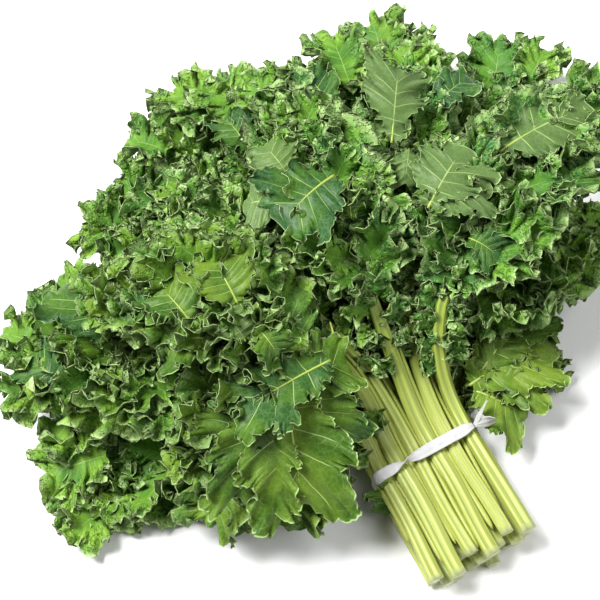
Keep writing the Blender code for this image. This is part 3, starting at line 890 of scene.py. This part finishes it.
# A bare vein leaves the stem's flank sideways and forward, bends forward by a
# square, and arches by a sine.
def veinTubes(leaf, number, route):
    form = veinForm
    made = []
    for owner, foot, side, length, bend in bareVeins:
        if owner == number:
            (point,), (across,), (out,) = alongRoute(route, np.array([foot * mm]))
            wide, high = stemProfile(leaf, foot * mm)
            run = np.linspace(0.0, 1.0, form["points"])[:, None]
            ahead = np.cross(out, across)
            line = (
                point
                - form["sunk"] * (stemDrop(high) + high) * out
                + side * (form["aside"] * wide + run * length * mm) * across
                + (form["forward"] * length * run + bend * run**2) * mm * ahead
                + form["arch"] * length * mm * np.sin(math.pi * run) * out
            )
            thick = form["halfWidth"] - form["taper"] * run[:, 0]
            points, sideways, upwards = framedRoute(line, out, length * mm, 0.0)[1:]
            made.append(thinTube(points, sideways, upwards, thick, form["sides"], foot * mm))
    return made


# The midrib of each open lobe stands out of it: a thin tube on the first part
# of the lobe's line, whose half width is a share of the lobe's width.
ribForm = {"points": 21, "sides": 8, "share": 0.020, "taper": 0.75, "lift": 0.0003, "green": 0.085}


def ribTubes(number):
    form = ribForm
    made = []
    for lobe in openLobes:
        if lobe["leaf"] == number:
            points, across, up = (values[: form["points"]] for values in openRoute(lobe)[1:])
            run = np.linspace(0.0, 1.0, form["points"])
            thick = form["share"] * lobe["width"] * mm * (1 - form["taper"] * run)
            raised = points + form["lift"] * up
            made.append(thinTube(raised, across, up, thick, form["sides"], form["green"]))
    return made


# Thin shoots that lie along the bundle in the gaps between the stems: the
# leaf they belong to, how far aside and up they lie, their two ends and half
# width, in millimetres.
shoots = (
    (13, 6.3, -1.5, -58, 64, 1.9), (14, 6.0, -2.0, -66, 52, 1.7), (15, 6.2, -1.0, -60, 58, 2.0),
    (16, 6.0, -2.2, -52, 46, 1.6), (12, 6.0, -1.6, -64, 34, 1.8), (12, -5.2, -2.4, -44, 40, 1.7),
    (17, 4.8, -3.4, -58, 46, 2.0), (13, -4.2, 0.6, -30, 70, 1.3), (15, -4.0, 0.4, -22, 66, 1.3),
)
shootForm = {
    "rings": 40,
    "sides": 10,
    "drift": 1.1,
    "driftSpeed": 2.0,
    "ridges": 5,
    "ridgeDepth": 0.10,
    "endPower": 10,
    "endLeast": 0.04,
    "taper": 0.25,
    # groove: how much of the stems' painted groove shade a shoot takes, lying in the gaps between stems.
    "groove": 0.35,
    "chance": (0.5, 1.5),
}


# A shoot follows the stem's own line at an offset that wanders. Its ring is a
# circle with ridges, it tapers evenly, and its ends close by a high power.
def shootTubes(leaf, number, route):
    form = shootForm
    count, sides = form["rings"], form["sides"]
    made = []
    for place, (owner, aside, above, start, end, half) in enumerate(shoots):
        if owner == number:
            rng = np.random.default_rng(seeds["shoots"] + place)
            distance = np.linspace(start, end, count) * mm
            centre, across, out = alongRoute(route, distance)
            high = stemProfile(leaf, distance)[1]
            drift = form["drift"] * mm * wander(rng, distance / stemForm["wanderLength"], form["driftSpeed"])
            fromMiddle = np.linspace(-1, 1, count) ** form["endPower"]
            closing = np.sqrt(np.clip(1 - fromMiddle, form["endLeast"], 1))
            thick = half * mm * (closing * (1 - form["taper"] * np.linspace(0, 1, count)))
            middle = (
                centre
                + (above * mm - stemDrop(high))[:, None] * out
                + (aside * mm + drift)[:, None] * across
            )
            angle = 2 * math.pi * np.arange(sides) / sides
            ridge = 1 - form["ridgeDepth"] * np.cos(form["ridges"] * angle)
            ringAcross, ringUp = np.cos(angle) * ridge, np.sin(angle) * ridge
            tube = closeTube(ringsAlong(middle, across, out, ringAcross, ringUp, thick, thick))
            spots = np.concatenate([np.repeat(distance, sides), distance[[0, -1]]])
            turn = np.concatenate([np.tile(angle, count), [0.0, 0.0]])
            look = np.tile([0.0, form["groove"], rng.uniform(*form["chance"])], (len(spots), 1))
            made.append((tube, np.stack([spots, np.cos(turn), np.sin(turn)], 1), look))
    return made


def makeStem(name, leaf, number, route, material):
    made = [stemTube(leaf, number, route)]
    made += veinTubes(leaf, number, route) + shootTubes(leaf, number, route) + ribTubes(number)
    values = {
        "stemPlace": np.concatenate([part[1] for part in made]),
        "stemLook": np.concatenate([part[2] for part in made]),
    }
    return joinTubes(name, [part[0] for part in made], values, material)


# The tie: a flat ribbon round the stems, from its knot and back to it, with a
# half twist where it is pinched, and its two ends standing up at the knot.
tieForm = {
    "width": 0.0075,
    "thickness": 0.0006,
    "outlineSteps": 1440,
    "steps": 300,
    "knotAt": (0.80, 0.60),
    "twistAt": 0.050,
    "twistLength": 0.016,
    "pinch": 0.60,
    "pinchLength": 0.007,
    "wire": 0.0004,
    "wireWidth": 0.16,
    "wireBelow": 0.5,
    "wave": 0.00035,
    "waveSteps": (9, 14),
    "columns": 11,
    "knotGap": 0.0015,
    "endLength": 0.010,
    "endWidth": 0.45,
    "tailSteps": 26,
    "tailStart": (0.30, 0.55),
    "tailEnd": (0.75, 0.86, 0.16),
    "tailLength": 0.017,
    "tails": (((0.75, -0.35, 0.62), 70, 0.22), ((0.60, 0.45, 0.72), -70, -0.18)),
}


# The closed line round the stems at some distance from them: for each facing
# angle, the furthest stem's centre plus that point of its ellipse.
def tieOutline(offset):
    angle = np.linspace(-0.5 * math.pi, 1.5 * math.pi, tieForm["outlineSteps"] + 1)[:-1]
    facing = np.stack([np.cos(angle), np.sin(angle)], axis=1)
    radii = np.array([bunch["stemHalfWidth"], bunch["stemHalfHeight"]])
    touch = radii**2 * facing / np.linalg.norm(radii * facing, axis=1, keepdims=True)
    centres = np.array([stemCentre(leaf) for leaf in leaves])
    furthest = np.argmax(facing @ centres.T, axis=1)
    line = centres[furthest] + touch + offset * facing
    knot = np.argmax(line @ np.array(tieForm["knotAt"]))
    return np.roll(line, -knot, axis=0), np.roll(facing, -knot, axis=0)


# A ribbon: at each place of its line, a flat ring across it that is turned
# about the line, with a wire's ridge down the middle.
def ribbonTube(line, side, face, half, turn, seed):
    form = tieForm
    rng = np.random.default_rng(seed)
    run = np.linspace(0.0, 1.0, len(line))
    turned = np.cos(turn)[:, None] * side + np.sin(turn)[:, None] * face
    facing = np.cos(turn)[:, None] * face - np.sin(turn)[:, None] * side
    spread = np.linspace(-1.0, 1.0, form["columns"])
    ridge = form["wire"] * np.exp(-((spread / form["wireWidth"]) ** 2))
    tilt, fold = (wander(rng, run, len(line) / steps)[:, None] for steps in form["waveSteps"])
    waves = form["wave"] * (tilt * spread + fold * spread**2)
    flat = line[:, None] + (half[:, None] * spread)[..., None] * turned[:, None]
    upper = flat + (ridge + waves + form["thickness"] / 2)[..., None] * facing[:, None]
    lower = flat + (waves - ridge * form["wireBelow"] - form["thickness"] / 2)[..., None] * facing[:, None]
    return closeTube(np.concatenate([upper, lower[:, ::-1]], axis=1))


def makeTie(name, material):
    form = tieForm
    line, facing = tieOutline(bunch["tieClearance"])
    ringed = np.concatenate([line, line[:1]])
    length = np.concatenate([[0.0], np.cumsum(np.linalg.norm(np.diff(ringed, axis=0), axis=1))])
    at = np.linspace(form["knotGap"], length[-1] - form["knotGap"], form["steps"])
    flat = np.stack([np.interp(at, length, ringed[:, axis]) for axis in (0, 1)], 1)
    ringFacing = np.concatenate([facing, facing[:1]])
    normal = np.stack([np.interp(at, length, ringFacing[:, axis]) for axis in (0, 1)], 1)
    face = unit(np.stack([normal[:, 0], np.zeros(len(at)), normal[:, 1]], 1))
    slant = math.tan(math.radians(bunch["tieSlant"]))
    side = np.tile([0.0, 1.0, 0.0], (len(at), 1))
    fromTwist = at - form["twistAt"]
    turn = math.pi * smoothStep(fromTwist / form["twistLength"] + 0.5)
    ends = smoothStep(at / form["endLength"]) * smoothStep((length[-1] - at) / form["endLength"])
    half = form["width"] / 2 * (1 - form["pinch"] * np.exp(-((fromTwist / form["pinchLength"]) ** 2)))
    half = half * (form["endWidth"] + (1 - form["endWidth"]) * ends)
    lifted = flat + (half * np.abs(np.sin(turn)))[:, None] * normal
    centre = np.stack([lifted[:, 0], lifted[:, 0] * slant, lifted[:, 1]], 1)
    tubes = [ribbonTube(centre, side, face, half, turn, seeds["ribbon"])]
    knot = np.array([line[0, 0], line[0, 0] * slant, line[0, 1]])
    for place, (towards, twist, bend) in enumerate(form["tails"]):
        ahead = unit(np.array(towards))
        across = unit(np.array([0.0, 1.0, 0.0]) - ahead * ahead[1])
        out = np.cross(ahead, across)
        count = form["tailSteps"]
        run = np.linspace(0.0, 1.0, count)
        bent = (bend * form["tailLength"] * run**2)[:, None] * out
        tail = knot + run[:, None] * form["tailLength"] * ahead + bent
        narrow, opened = form["tailStart"]
        cutBack, cutAt, cutLength = form["tailEnd"]
        half = form["width"] / 2 * (narrow + (1 - narrow) * smoothStep(run / opened))
        half = half * (1 - cutBack * smoothStep((run - cutAt) / cutLength))
        turn = math.radians(twist) * run
        side, face = np.tile(across, (count, 1)), np.tile(out, (count, 1))
        tubes.append(ribbonTube(tail, side, face, half, turn, seeds["tails"] + place))
    return joinTubes(name, tubes, {}, material)


# Nodes are added and joined by short calls, to keep the materials readable.
def addNode(tree, kind, settings=None, inputs=None):
    node = tree.nodes.new(kind)
    for key, value in (settings or {}).items():
        setattr(node, key, value)
    for key, value in (inputs or {}).items():
        if hasattr(value, "is_output") or hasattr(value, "links"):
            tree.links.new(value, node.inputs[key])
        else:
            node.inputs[key].default_value = value
    return node


def calc(tree, operation, first, second=0.0, third=0.0):
    node = addNode(tree, "ShaderNodeMath", {"operation": operation}, {0: first, 1: second, 2: third})
    return node.outputs[0]


def mixColour(tree, amount, first, second):
    node = addNode(tree, "ShaderNodeMix", {"data_type": "RGBA"}, {0: amount, 6: first, 7: second})
    return node.outputs[2]


def fadeBetween(tree, value, low, high, atLow=0.0, atHigh=1.0):
    node = addNode(
        tree,
        "ShaderNodeMapRange",
        {"interpolation_type": "SMOOTHSTEP"},
        {0: value, 1: low, 2: high, 3: atLow, 4: atHigh},
    )
    return node.outputs[0]


def objectNoise(tree, vector, scale, detail=3.0, roughness=0.55):
    inputs = {"Vector": vector, "Scale": scale, "Detail": detail, "Roughness": roughness}
    return addNode(tree, "ShaderNodeTexNoise", None, inputs).outputs[0]


# Detail and soft range of the broad and the fine blotches, and the share of
# the fine ones in the height.
toneForm = {
    "broad": (2.0, (0.36, 0.64)),
    "fine": (4.0, (0.3, 0.7)),
    "fineHeight": 0.6,
}


# Growth tone: broad and fine blotches that every surface here carries. Both
# are noise cut to a soft range; the height is the fine on top of the broad.
def makeGrowthTone():
    group = bpy.data.node_groups.new("growthTone", "ShaderNodeTree")
    number = "NodeSocketFloat"
    for title, kind in (("Vector", "NodeSocketVector"), ("Broad", number), ("Fine", number)):
        group.interface.new_socket(title, in_out="INPUT", socket_type=kind)
    for title in ("Broad", "Fine", "Height"):
        group.interface.new_socket(title, in_out="OUTPUT", socket_type=number)
    start = group.nodes.new("NodeGroupInput")
    end = group.nodes.new("NodeGroupOutput")
    fields = []
    for index, title in enumerate(("broad", "fine")):
        detail, between = toneForm[title]
        inputs = {"Vector": start.outputs[0], "Scale": start.outputs[index + 1], "Detail": detail}
        fields.append(addNode(group, "ShaderNodeTexNoise", None, inputs).outputs[0])
        group.links.new(fadeBetween(group, fields[index], *between), end.inputs[index])
    height = calc(group, "MULTIPLY_ADD", fields[1], toneForm["fineHeight"], fields[0])
    group.links.new(height, end.inputs[2])
    return group


growthTone = makeGrowthTone()


def newMaterial(name):
    material = bpy.data.materials.new(name)
    material.use_nodes = True
    tree = material.node_tree
    return material, tree, tree.nodes["Principled BSDF"]


# The place on the object, and the growth tone there at a broad and a fine scale.
def toneAt(tree, scales):
    where = addNode(tree, "ShaderNodeTexCoord").outputs["Object"]
    inputs = {"Vector": where, "Broad": scales[0], "Fine": scales[1]}
    return where, addNode(tree, "ShaderNodeGroup", {"node_tree": growthTone}, inputs).outputs


def readAttribute(tree, name, output="Vector"):
    return addNode(tree, "ShaderNodeAttribute", {"attribute_name": name}).outputs[output]


def partsOf(tree, vector):
    return addNode(tree, "ShaderNodeSeparateXYZ", None, {0: vector}).outputs


# A bump of some strength and distance, which may lie over another.
def addBump(tree, size, height, below=None):
    inputs = {"Strength": size[0], "Distance": size[1], "Height": height}
    if below is not None:
        inputs["Normal"] = below
    return addNode(tree, "ShaderNodeBump", None, inputs).outputs[0]


leafFinish = {
    # dark: the colour of the painted shade in the crinkles' pits; open sheets are also mixed towards it.
    "dark": (0.004, 0.026, 0.001, 1),
    # deep: the darker growth tone, and also the colour of the painted shade towards a ruffled sheet's
    # midrib.
    "deep": (0.046, 0.150, 0.009, 1),
    "green": (0.120, 0.294, 0.025, 1),
    "fresh": (0.320, 0.480, 0.048, 1),
    "bloom": (0.055, 0.165, 0.058, 1),
    "under": (0.240, 0.380, 0.130, 1),
    "vein": (0.400, 0.540, 0.180, 1),
    # margin: partly the leaf's own paler rim and partly a painted highlight on the frilled edges.
    "margin": (0.520, 0.690, 0.290, 1),
    # The colour of the painted highlight along the crests of the crinkles.
    "crestHighlightColour": (0.290, 0.510, 0.120, 1),
    "tone": (42.0, 210.0),
    "roughness": (0.30, 0.16),
    "specular": (0.10, 0.14),
    "lobeVeins": 0.40,
    "openVeins": 0.62,
    "veinStray": (90.0, 0.10),
    "veinWidth": (0.024, -0.018, 0.014),
    "veinFade": (0.50, 0.95),
    "midrib": (0.010, 0.028),
    "sideVeins": 0.25,
    "sideVeinSlant": (3.0, 5.2),
    "sideVeinWidth": (0.03, 0.08),
    "net": (240.0, 0.09, 0.14),
    "youth": (0.50, 0.20),
    "powder": 0.75,
    "underside": 0.85,
    # The painted shade of ruffled sheets: how they go deep green towards their midrib, deep in the bunch.
    "hollow": (0.05, 0.75, 0.55),
    "frilly": (0.20, 0.75),
    "crinkle": (300.0, 2.0, 0.6),
    "crinkleLevel": 0.515,
    # The painted shade in the pits of the crinkle noise, on ruffled sheets.
    "pitShade": (0.110, 0.015, 0.36),
    "crestHighlight": (0.006, 0.045, 0.50),
    "fold": (0.12, 0.03),
    "openShade": 0.61,
    # pale and edge: the wide band and the thin line of margin colour, partly paler rim and partly painted
    # highlight.
    "pale": (0.84, 0.45),
    "edge": (0.92, 0.975, 0.99),
    "edgeShare": (0.75, -0.3),
    "veinDepth": 0.9,
    "grainBump": (0.5, 0.0006),
    "foldBump": (0.9, 0.0013),
}


# Veins lie where the share along the margin, times the number of veins, is
# near a half; finer ones slant between them, and a net of cells fills in.
def leafVeins(tree, where, share, across, count, fine):
    finish = leafFinish
    strayScale, stray = finish["veinStray"]
    bend = calc(tree, "MULTIPLY_ADD", objectNoise(tree, where, strayScale), stray, -stray / 2)
    bent = calc(tree, "ADD", calc(tree, "MULTIPLY", share, count), bend)
    toVein = calc(tree, "ABSOLUTE", calc(tree, "SUBTRACT", calc(tree, "FRACT", bent), 0.5))
    atRib, thinning, blur = finish["veinWidth"]
    width = calc(tree, "MULTIPLY_ADD", across, thinning, atRib)
    mainVein = fadeBetween(tree, calc(tree, "SUBTRACT", toVein, width), 0.0, blur, 1.0, 0.0)
    mainVein = calc(tree, "MULTIPLY", mainVein, fadeBetween(tree, across, *finish["veinFade"], 1.0, 0.0))
    midrib = fadeBetween(tree, across, *finish["midrib"], 1.0, 0.0)
    often, steep = finish["sideVeinSlant"]
    sideVein = 0.0
    for slant in (steep, -steep):
        line = calc(tree, "MULTIPLY_ADD", across, slant, calc(tree, "MULTIPLY", bent, often))
        gap = calc(tree, "ABSOLUTE", calc(tree, "SUBTRACT", calc(tree, "FRACT", line), 0.5))
        found = fadeBetween(tree, gap, *finish["sideVeinWidth"], 1.0, 0.0)
        sideVein = calc(tree, "MAXIMUM", found, sideVein)
    netScale, netWidth, netShare = finish["net"]
    inputs = {"Vector": where, "Scale": netScale}
    net = addNode(tree, "ShaderNodeTexVoronoi", {"feature": "DISTANCE_TO_EDGE"}, inputs)
    netLine = fadeBetween(tree, net.outputs[0], 0.0, netWidth, 1.0, 0.0)
    sideVein = calc(tree, "MULTIPLY", sideVein, calc(tree, "MULTIPLY", fine, finish["sideVeins"]))
    veins = calc(tree, "MAXIMUM", calc(tree, "MAXIMUM", mainVein, midrib), sideVein)
    return calc(tree, "MAXIMUM", veins, calc(tree, "MULTIPLY", netLine, netShare))


# The green goes from deep to fresh by the growth tone, then bluish with bloom and pale underneath. Ruffled
# sheets get painted shade towards their midrib, and are crinkled: a noise is raised above one level, with
# painted shade below it and a painted highlight along it. Margins, pale partly as the leaf's own rim and
# partly as painted highlight, and veins come last.
def makeLeafMaterial():
    material, tree, shader = newMaterial("leaf")
    finish = leafFinish
    share, across, count = partsOf(tree, readAttribute(tree, "leafPlace"))
    bloom, fresh, under = partsOf(tree, readAttribute(tree, "leafLook"))
    openness = readAttribute(tree, "openSheet", "Fac")
    ruffled = calc(tree, "SUBTRACT", 1.0, openness)
    where, (broad, fine, height) = toneAt(tree, finish["tone"])
    veins = leafVeins(tree, where, share, across, count, fine)
    green = mixColour(tree, broad, finish["deep"], finish["green"])
    youth = calc(tree, "MULTIPLY", fresh, calc(tree, "MULTIPLY_ADD", broad, *finish["youth"]))
    green = mixColour(tree, youth, green, finish["fresh"])
    powder = calc(tree, "MULTIPLY", bloom, calc(tree, "MULTIPLY_ADD", broad, -finish["powder"], 1.0))
    green = mixColour(tree, powder, green, finish["bloom"])
    green = mixColour(tree, calc(tree, "MULTIPLY", under, finish["underside"]), green, finish["under"])
    # Painted shade: ruffled sheets turn deep green towards their midrib, where the frills above shade them.
    hollowFrom, hollowTo, hollowShare = finish["hollow"]
    hollow = fadeBetween(tree, across, hollowFrom, hollowTo, hollowShare, 0.0)
    green = mixColour(tree, calc(tree, "MULTIPLY", hollow, ruffled), green, finish["deep"])
    field, level = objectNoise(tree, where, *finish["crinkle"]), finish["crinkleLevel"]
    frilly = calc(tree, "MULTIPLY", fadeBetween(tree, across, *finish["frilly"]), ruffled)
    # Painted shade: below the crinkle level the ruffled sheets go dark, as in the hollows between folds.
    pitShadeFrom, pitShadeTo, pitShadeShare = finish["pitShade"]
    pitShade = fadeBetween(tree, field, level - pitShadeFrom, level - pitShadeTo, pitShadeShare, 0.0)
    green = mixColour(tree, calc(tree, "MULTIPLY", pitShade, frilly), green, finish["dark"])
    # Painted highlight: along the crinkle level, where the folds rise, the ruffled sheets are paler.
    off = calc(tree, "ABSOLUTE", calc(tree, "SUBTRACT", field, level))
    crestHighlightFrom, crestHighlightTo, crestHighlightShare = finish["crestHighlight"]
    crestHighlight = fadeBetween(tree, off, crestHighlightFrom, crestHighlightTo, crestHighlightShare, 0.0)
    green = mixColour(tree, calc(tree, "MULTIPLY", crestHighlight, frilly), green, finish["crestHighlightColour"])
    green = mixColour(tree, calc(tree, "MULTIPLY", openness, finish["openShade"]), green, finish["dark"])
    # The margin colour is partly the leaf's own paler rim and partly a painted highlight: ruffled sheets get
    # a wide pale band, and all sheets a thin edge line.
    edgeFrom, openFrom, edgeTo = finish["edge"]
    paleFrom, paleShare = finish["pale"]
    pale = calc(tree, "MULTIPLY", fadeBetween(tree, across, paleFrom, edgeTo, 0.0, paleShare), frilly)
    begin = calc(tree, "MULTIPLY_ADD", openness, openFrom - edgeFrom, edgeFrom)
    ruffledEdge, openEdge = finish["edgeShare"]
    edge = calc(tree, "MULTIPLY", fadeBetween(tree, across, begin, edgeTo), ruffledEdge)
    edge = calc(tree, "MULTIPLY", edge, calc(tree, "MULTIPLY_ADD", openness, openEdge, 1.0))
    green = mixColour(tree, calc(tree, "MAXIMUM", edge, pale), green, finish["margin"])
    shown = fadeBetween(tree, openness, 0.0, 1.0, finish["lobeVeins"], finish["openVeins"])
    colour = mixColour(tree, calc(tree, "MULTIPLY", veins, shown), green, finish["vein"])
    tree.links.new(colour, shader.inputs["Base Color"])
    specular = fadeBetween(tree, openness, 0.0, 1.0, *finish["specular"])
    tree.links.new(specular, shader.inputs["Specular IOR Level"])
    smoothest, rougher = finish["roughness"]
    tree.links.new(calc(tree, "MULTIPLY_ADD", fine, rougher, smoothest), shader.inputs["Roughness"])
    depth = finish["veinDepth"]
    sunk = calc(tree, "MULTIPLY", veins, calc(tree, "MULTIPLY_ADD", under, 2 * depth, -depth))
    grain = addBump(tree, finish["grainBump"], calc(tree, "ADD", sunk, height))
    foldBelow, foldAbove = finish["fold"]
    raised = calc(tree, "MULTIPLY", fadeBetween(tree, field, level - foldBelow, level + foldAbove), frilly)
    tree.links.new(addBump(tree, finish["foldBump"], raised, grain), shader.inputs["Normal"])
    return material


stemFinish = {
    "pale": (0.500, 0.550, 0.130, 1),
    "yellow": (0.520, 0.490, 0.070, 1),
    "green": (0.300, 0.400, 0.055, 1),
    # groove: darker green painted as shade in the grooves between a stem's ribs, and on the shoots in the
    # gaps.
    "groove": (0.095, 0.150, 0.016, 1),
    "cut": (0.460, 0.500, 0.240, 1),
    "tone": (40.0, 420.0),
    "streakScale": (14.0, 5.0, 5.0),
    "streakDetail": 4.0,
    "streak": (0.40, 0.66),
    "upper": (-0.005, 0.075),
    "shares": {"yellow": 0.30, "upper": 0.82, "streak": 0.40, "groove": 0.65},
    "roughness": (0.31, 0.14),
    "relief": (0.8, 0.5),
    "bump": (0.4, 0.0004),
}


# Streaks run the length of a stem: noise on its own place, drawn out along it.
# The grooves between its ribs are painted darker green as shade, and its end in the leaf is greener.
def makeStemMaterial():
    material, tree, shader = newMaterial("stem")
    finish = stemFinish
    place = readAttribute(tree, "stemPlace")
    cut, groove, chance = partsOf(tree, readAttribute(tree, "stemLook"))
    fine, height = toneAt(tree, finish["tone"])[1][1:]
    inputs = {0: place, 1: finish["streakScale"]}
    drawn = addNode(tree, "ShaderNodeVectorMath", {"operation": "MULTIPLY"}, inputs).outputs[0]
    streak = fadeBetween(tree, objectNoise(tree, drawn, 1.0, finish["streakDetail"]), *finish["streak"])
    upper = fadeBetween(tree, partsOf(tree, place)[0], *finish["upper"])
    green = finish["pale"]
    # The groove colour is painted shade in the grooves between ribs and on the shoots.
    for part, title, colour in (
        (chance, "yellow", "yellow"),
        (upper, "upper", "green"),
        (streak, "streak", "green"),
        (groove, "groove", "groove"),
    ):
        amount = calc(tree, "MULTIPLY", part, finish["shares"][title])
        green = mixColour(tree, amount, green, finish[colour])
    tree.links.new(mixColour(tree, cut, green, finish["cut"]), shader.inputs["Base Color"])
    smoothest, rougher = finish["roughness"]
    tree.links.new(calc(tree, "MULTIPLY_ADD", fine, rougher, smoothest), shader.inputs["Roughness"])
    streakHeight, toneHeight = finish["relief"]
    relief = calc(tree, "MULTIPLY_ADD", streak, streakHeight, calc(tree, "MULTIPLY", height, toneHeight))
    tree.links.new(addBump(tree, finish["bump"], relief), shader.inputs["Normal"])
    return material


tieFinish = {
    "white": (0.50, 0.50, 0.50, 1),
    "worn": (0.34, 0.35, 0.34, 1),
    "tone": (120.0, 900.0),
    "wornShare": 0.4,
    "roughness": 0.5,
    "bump": (0.3, 0.0004),
}


# Paper that is greyer in broad blotches and finely uneven.
def makeTieMaterial():
    material, tree, shader = newMaterial("tie")
    finish = tieFinish
    tone = toneAt(tree, finish["tone"])[1]
    worn = calc(tree, "MULTIPLY", tone["Broad"], finish["wornShare"])
    tree.links.new(mixColour(tree, worn, finish["white"], finish["worn"]), shader.inputs["Base Color"])
    shader.inputs["Roughness"].default_value = finish["roughness"]
    tree.links.new(addBump(tree, finish["bump"], tone["Height"]), shader.inputs["Normal"])
    return material


leafMaterial = makeLeafMaterial()
stemMaterial = makeStemMaterial()
tieMaterial = makeTieMaterial()
print("materials made")

made = []
for number, leaf in enumerate(leaves, start=1):
    route = leafRoute(leaf)
    title = f"leaf_{number:02d}"
    blade = makeBlade(title + "_ruffled_blade", leaf, number, route, leafMaterial)
    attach(blade, "root")
    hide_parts(title + "_blade")
    stem = makeStem(title + "_ribbed_stem", leaf, number, route, stemMaterial)
    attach(stem, "root")
    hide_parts(title + "_stem")
    made += [blade, stem]
print("leaves made")

leaflet = joinSheets("side_leaflet_curls", openSheets(0), leafMaterial)
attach(leaflet, "root")
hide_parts("side_leaflet")
tie = makeTie("twist_tie_ribbon", tieMaterial)
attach(tie, "root")
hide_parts("twist_tie")
made += [leaflet, tie]
counts = [sum(len(face.vertices) - 2 for face in piece.data.polygons) for piece in made]
print("tie and leaflet made; triangles", sum(counts), "largest", max(counts))

# Floor, light and camera
stage = {
    "floorSize": 6.0,
    "floorColour": (0.93, 0.93, 0.93, 1),
    "floorRoughness": 0.9,
    "worldColour": (1.0, 1.0, 1.0, 1),
    "worldStrength": 0.11,
    "lights": (
        ("key light", (-1.15, 1.20, 2.40), 1.4, 182.0),
        ("fill light", (0.9, -0.6, 1.4), 1.4, 18.0),
    ),
}


def makeStage():
    bpy.ops.mesh.primitive_plane_add(size=stage["floorSize"], location=(0, 0, 0))
    floor = bpy.context.object
    floor.name = "floor"
    material, tree, shader = newMaterial("floor")
    shader.inputs["Base Color"].default_value = stage["floorColour"]
    shader.inputs["Roughness"].default_value = stage["floorRoughness"]
    floor.data.materials.append(material)
    world = bpy.data.worlds.new("studio")
    world.use_nodes = True
    sky = world.node_tree.nodes["Background"]
    sky.inputs[0].default_value = stage["worldColour"]
    sky.inputs[1].default_value = stage["worldStrength"]
    bpy.context.scene.world = world
    aim = np.array(cameraForm["aim"])
    for name, spot, size, power in stage["lights"]:
        light = bpy.data.lights.new(name, "AREA")
        light.size = size
        light.energy = power
        lamp = bpy.data.objects.new(name, light)
        lamp.location = spot
        toward = aim - np.array(spot)
        pitch = math.atan2(math.hypot(toward[0], toward[1]), -toward[2])
        lamp.rotation_euler = (pitch, 0.0, math.atan2(-toward[0], toward[1]))
        bpy.context.scene.collection.objects.link(lamp)
    view = bpy.data.cameras.new("camera")
    view.lens = cameraForm["lens"]
    view.sensor_width = cameraForm["sensor"]
    view.shift_x, view.shift_y = cameraForm["shift"]
    camera = bpy.data.objects.new("camera", view)
    camera.location = aim + cameraAxes()[0] * cameraForm["distance"]
    tilt, turn = 90.0 - cameraForm["elevation"], cameraForm["azimuth"]
    camera.rotation_euler = (math.radians(tilt), 0.0, math.radians(turn))
    bpy.context.scene.collection.objects.link(camera)
    bpy.context.scene.camera = camera
    bpy.context.scene.view_settings.view_transform = "Standard"


makeStage()
print("stage made")
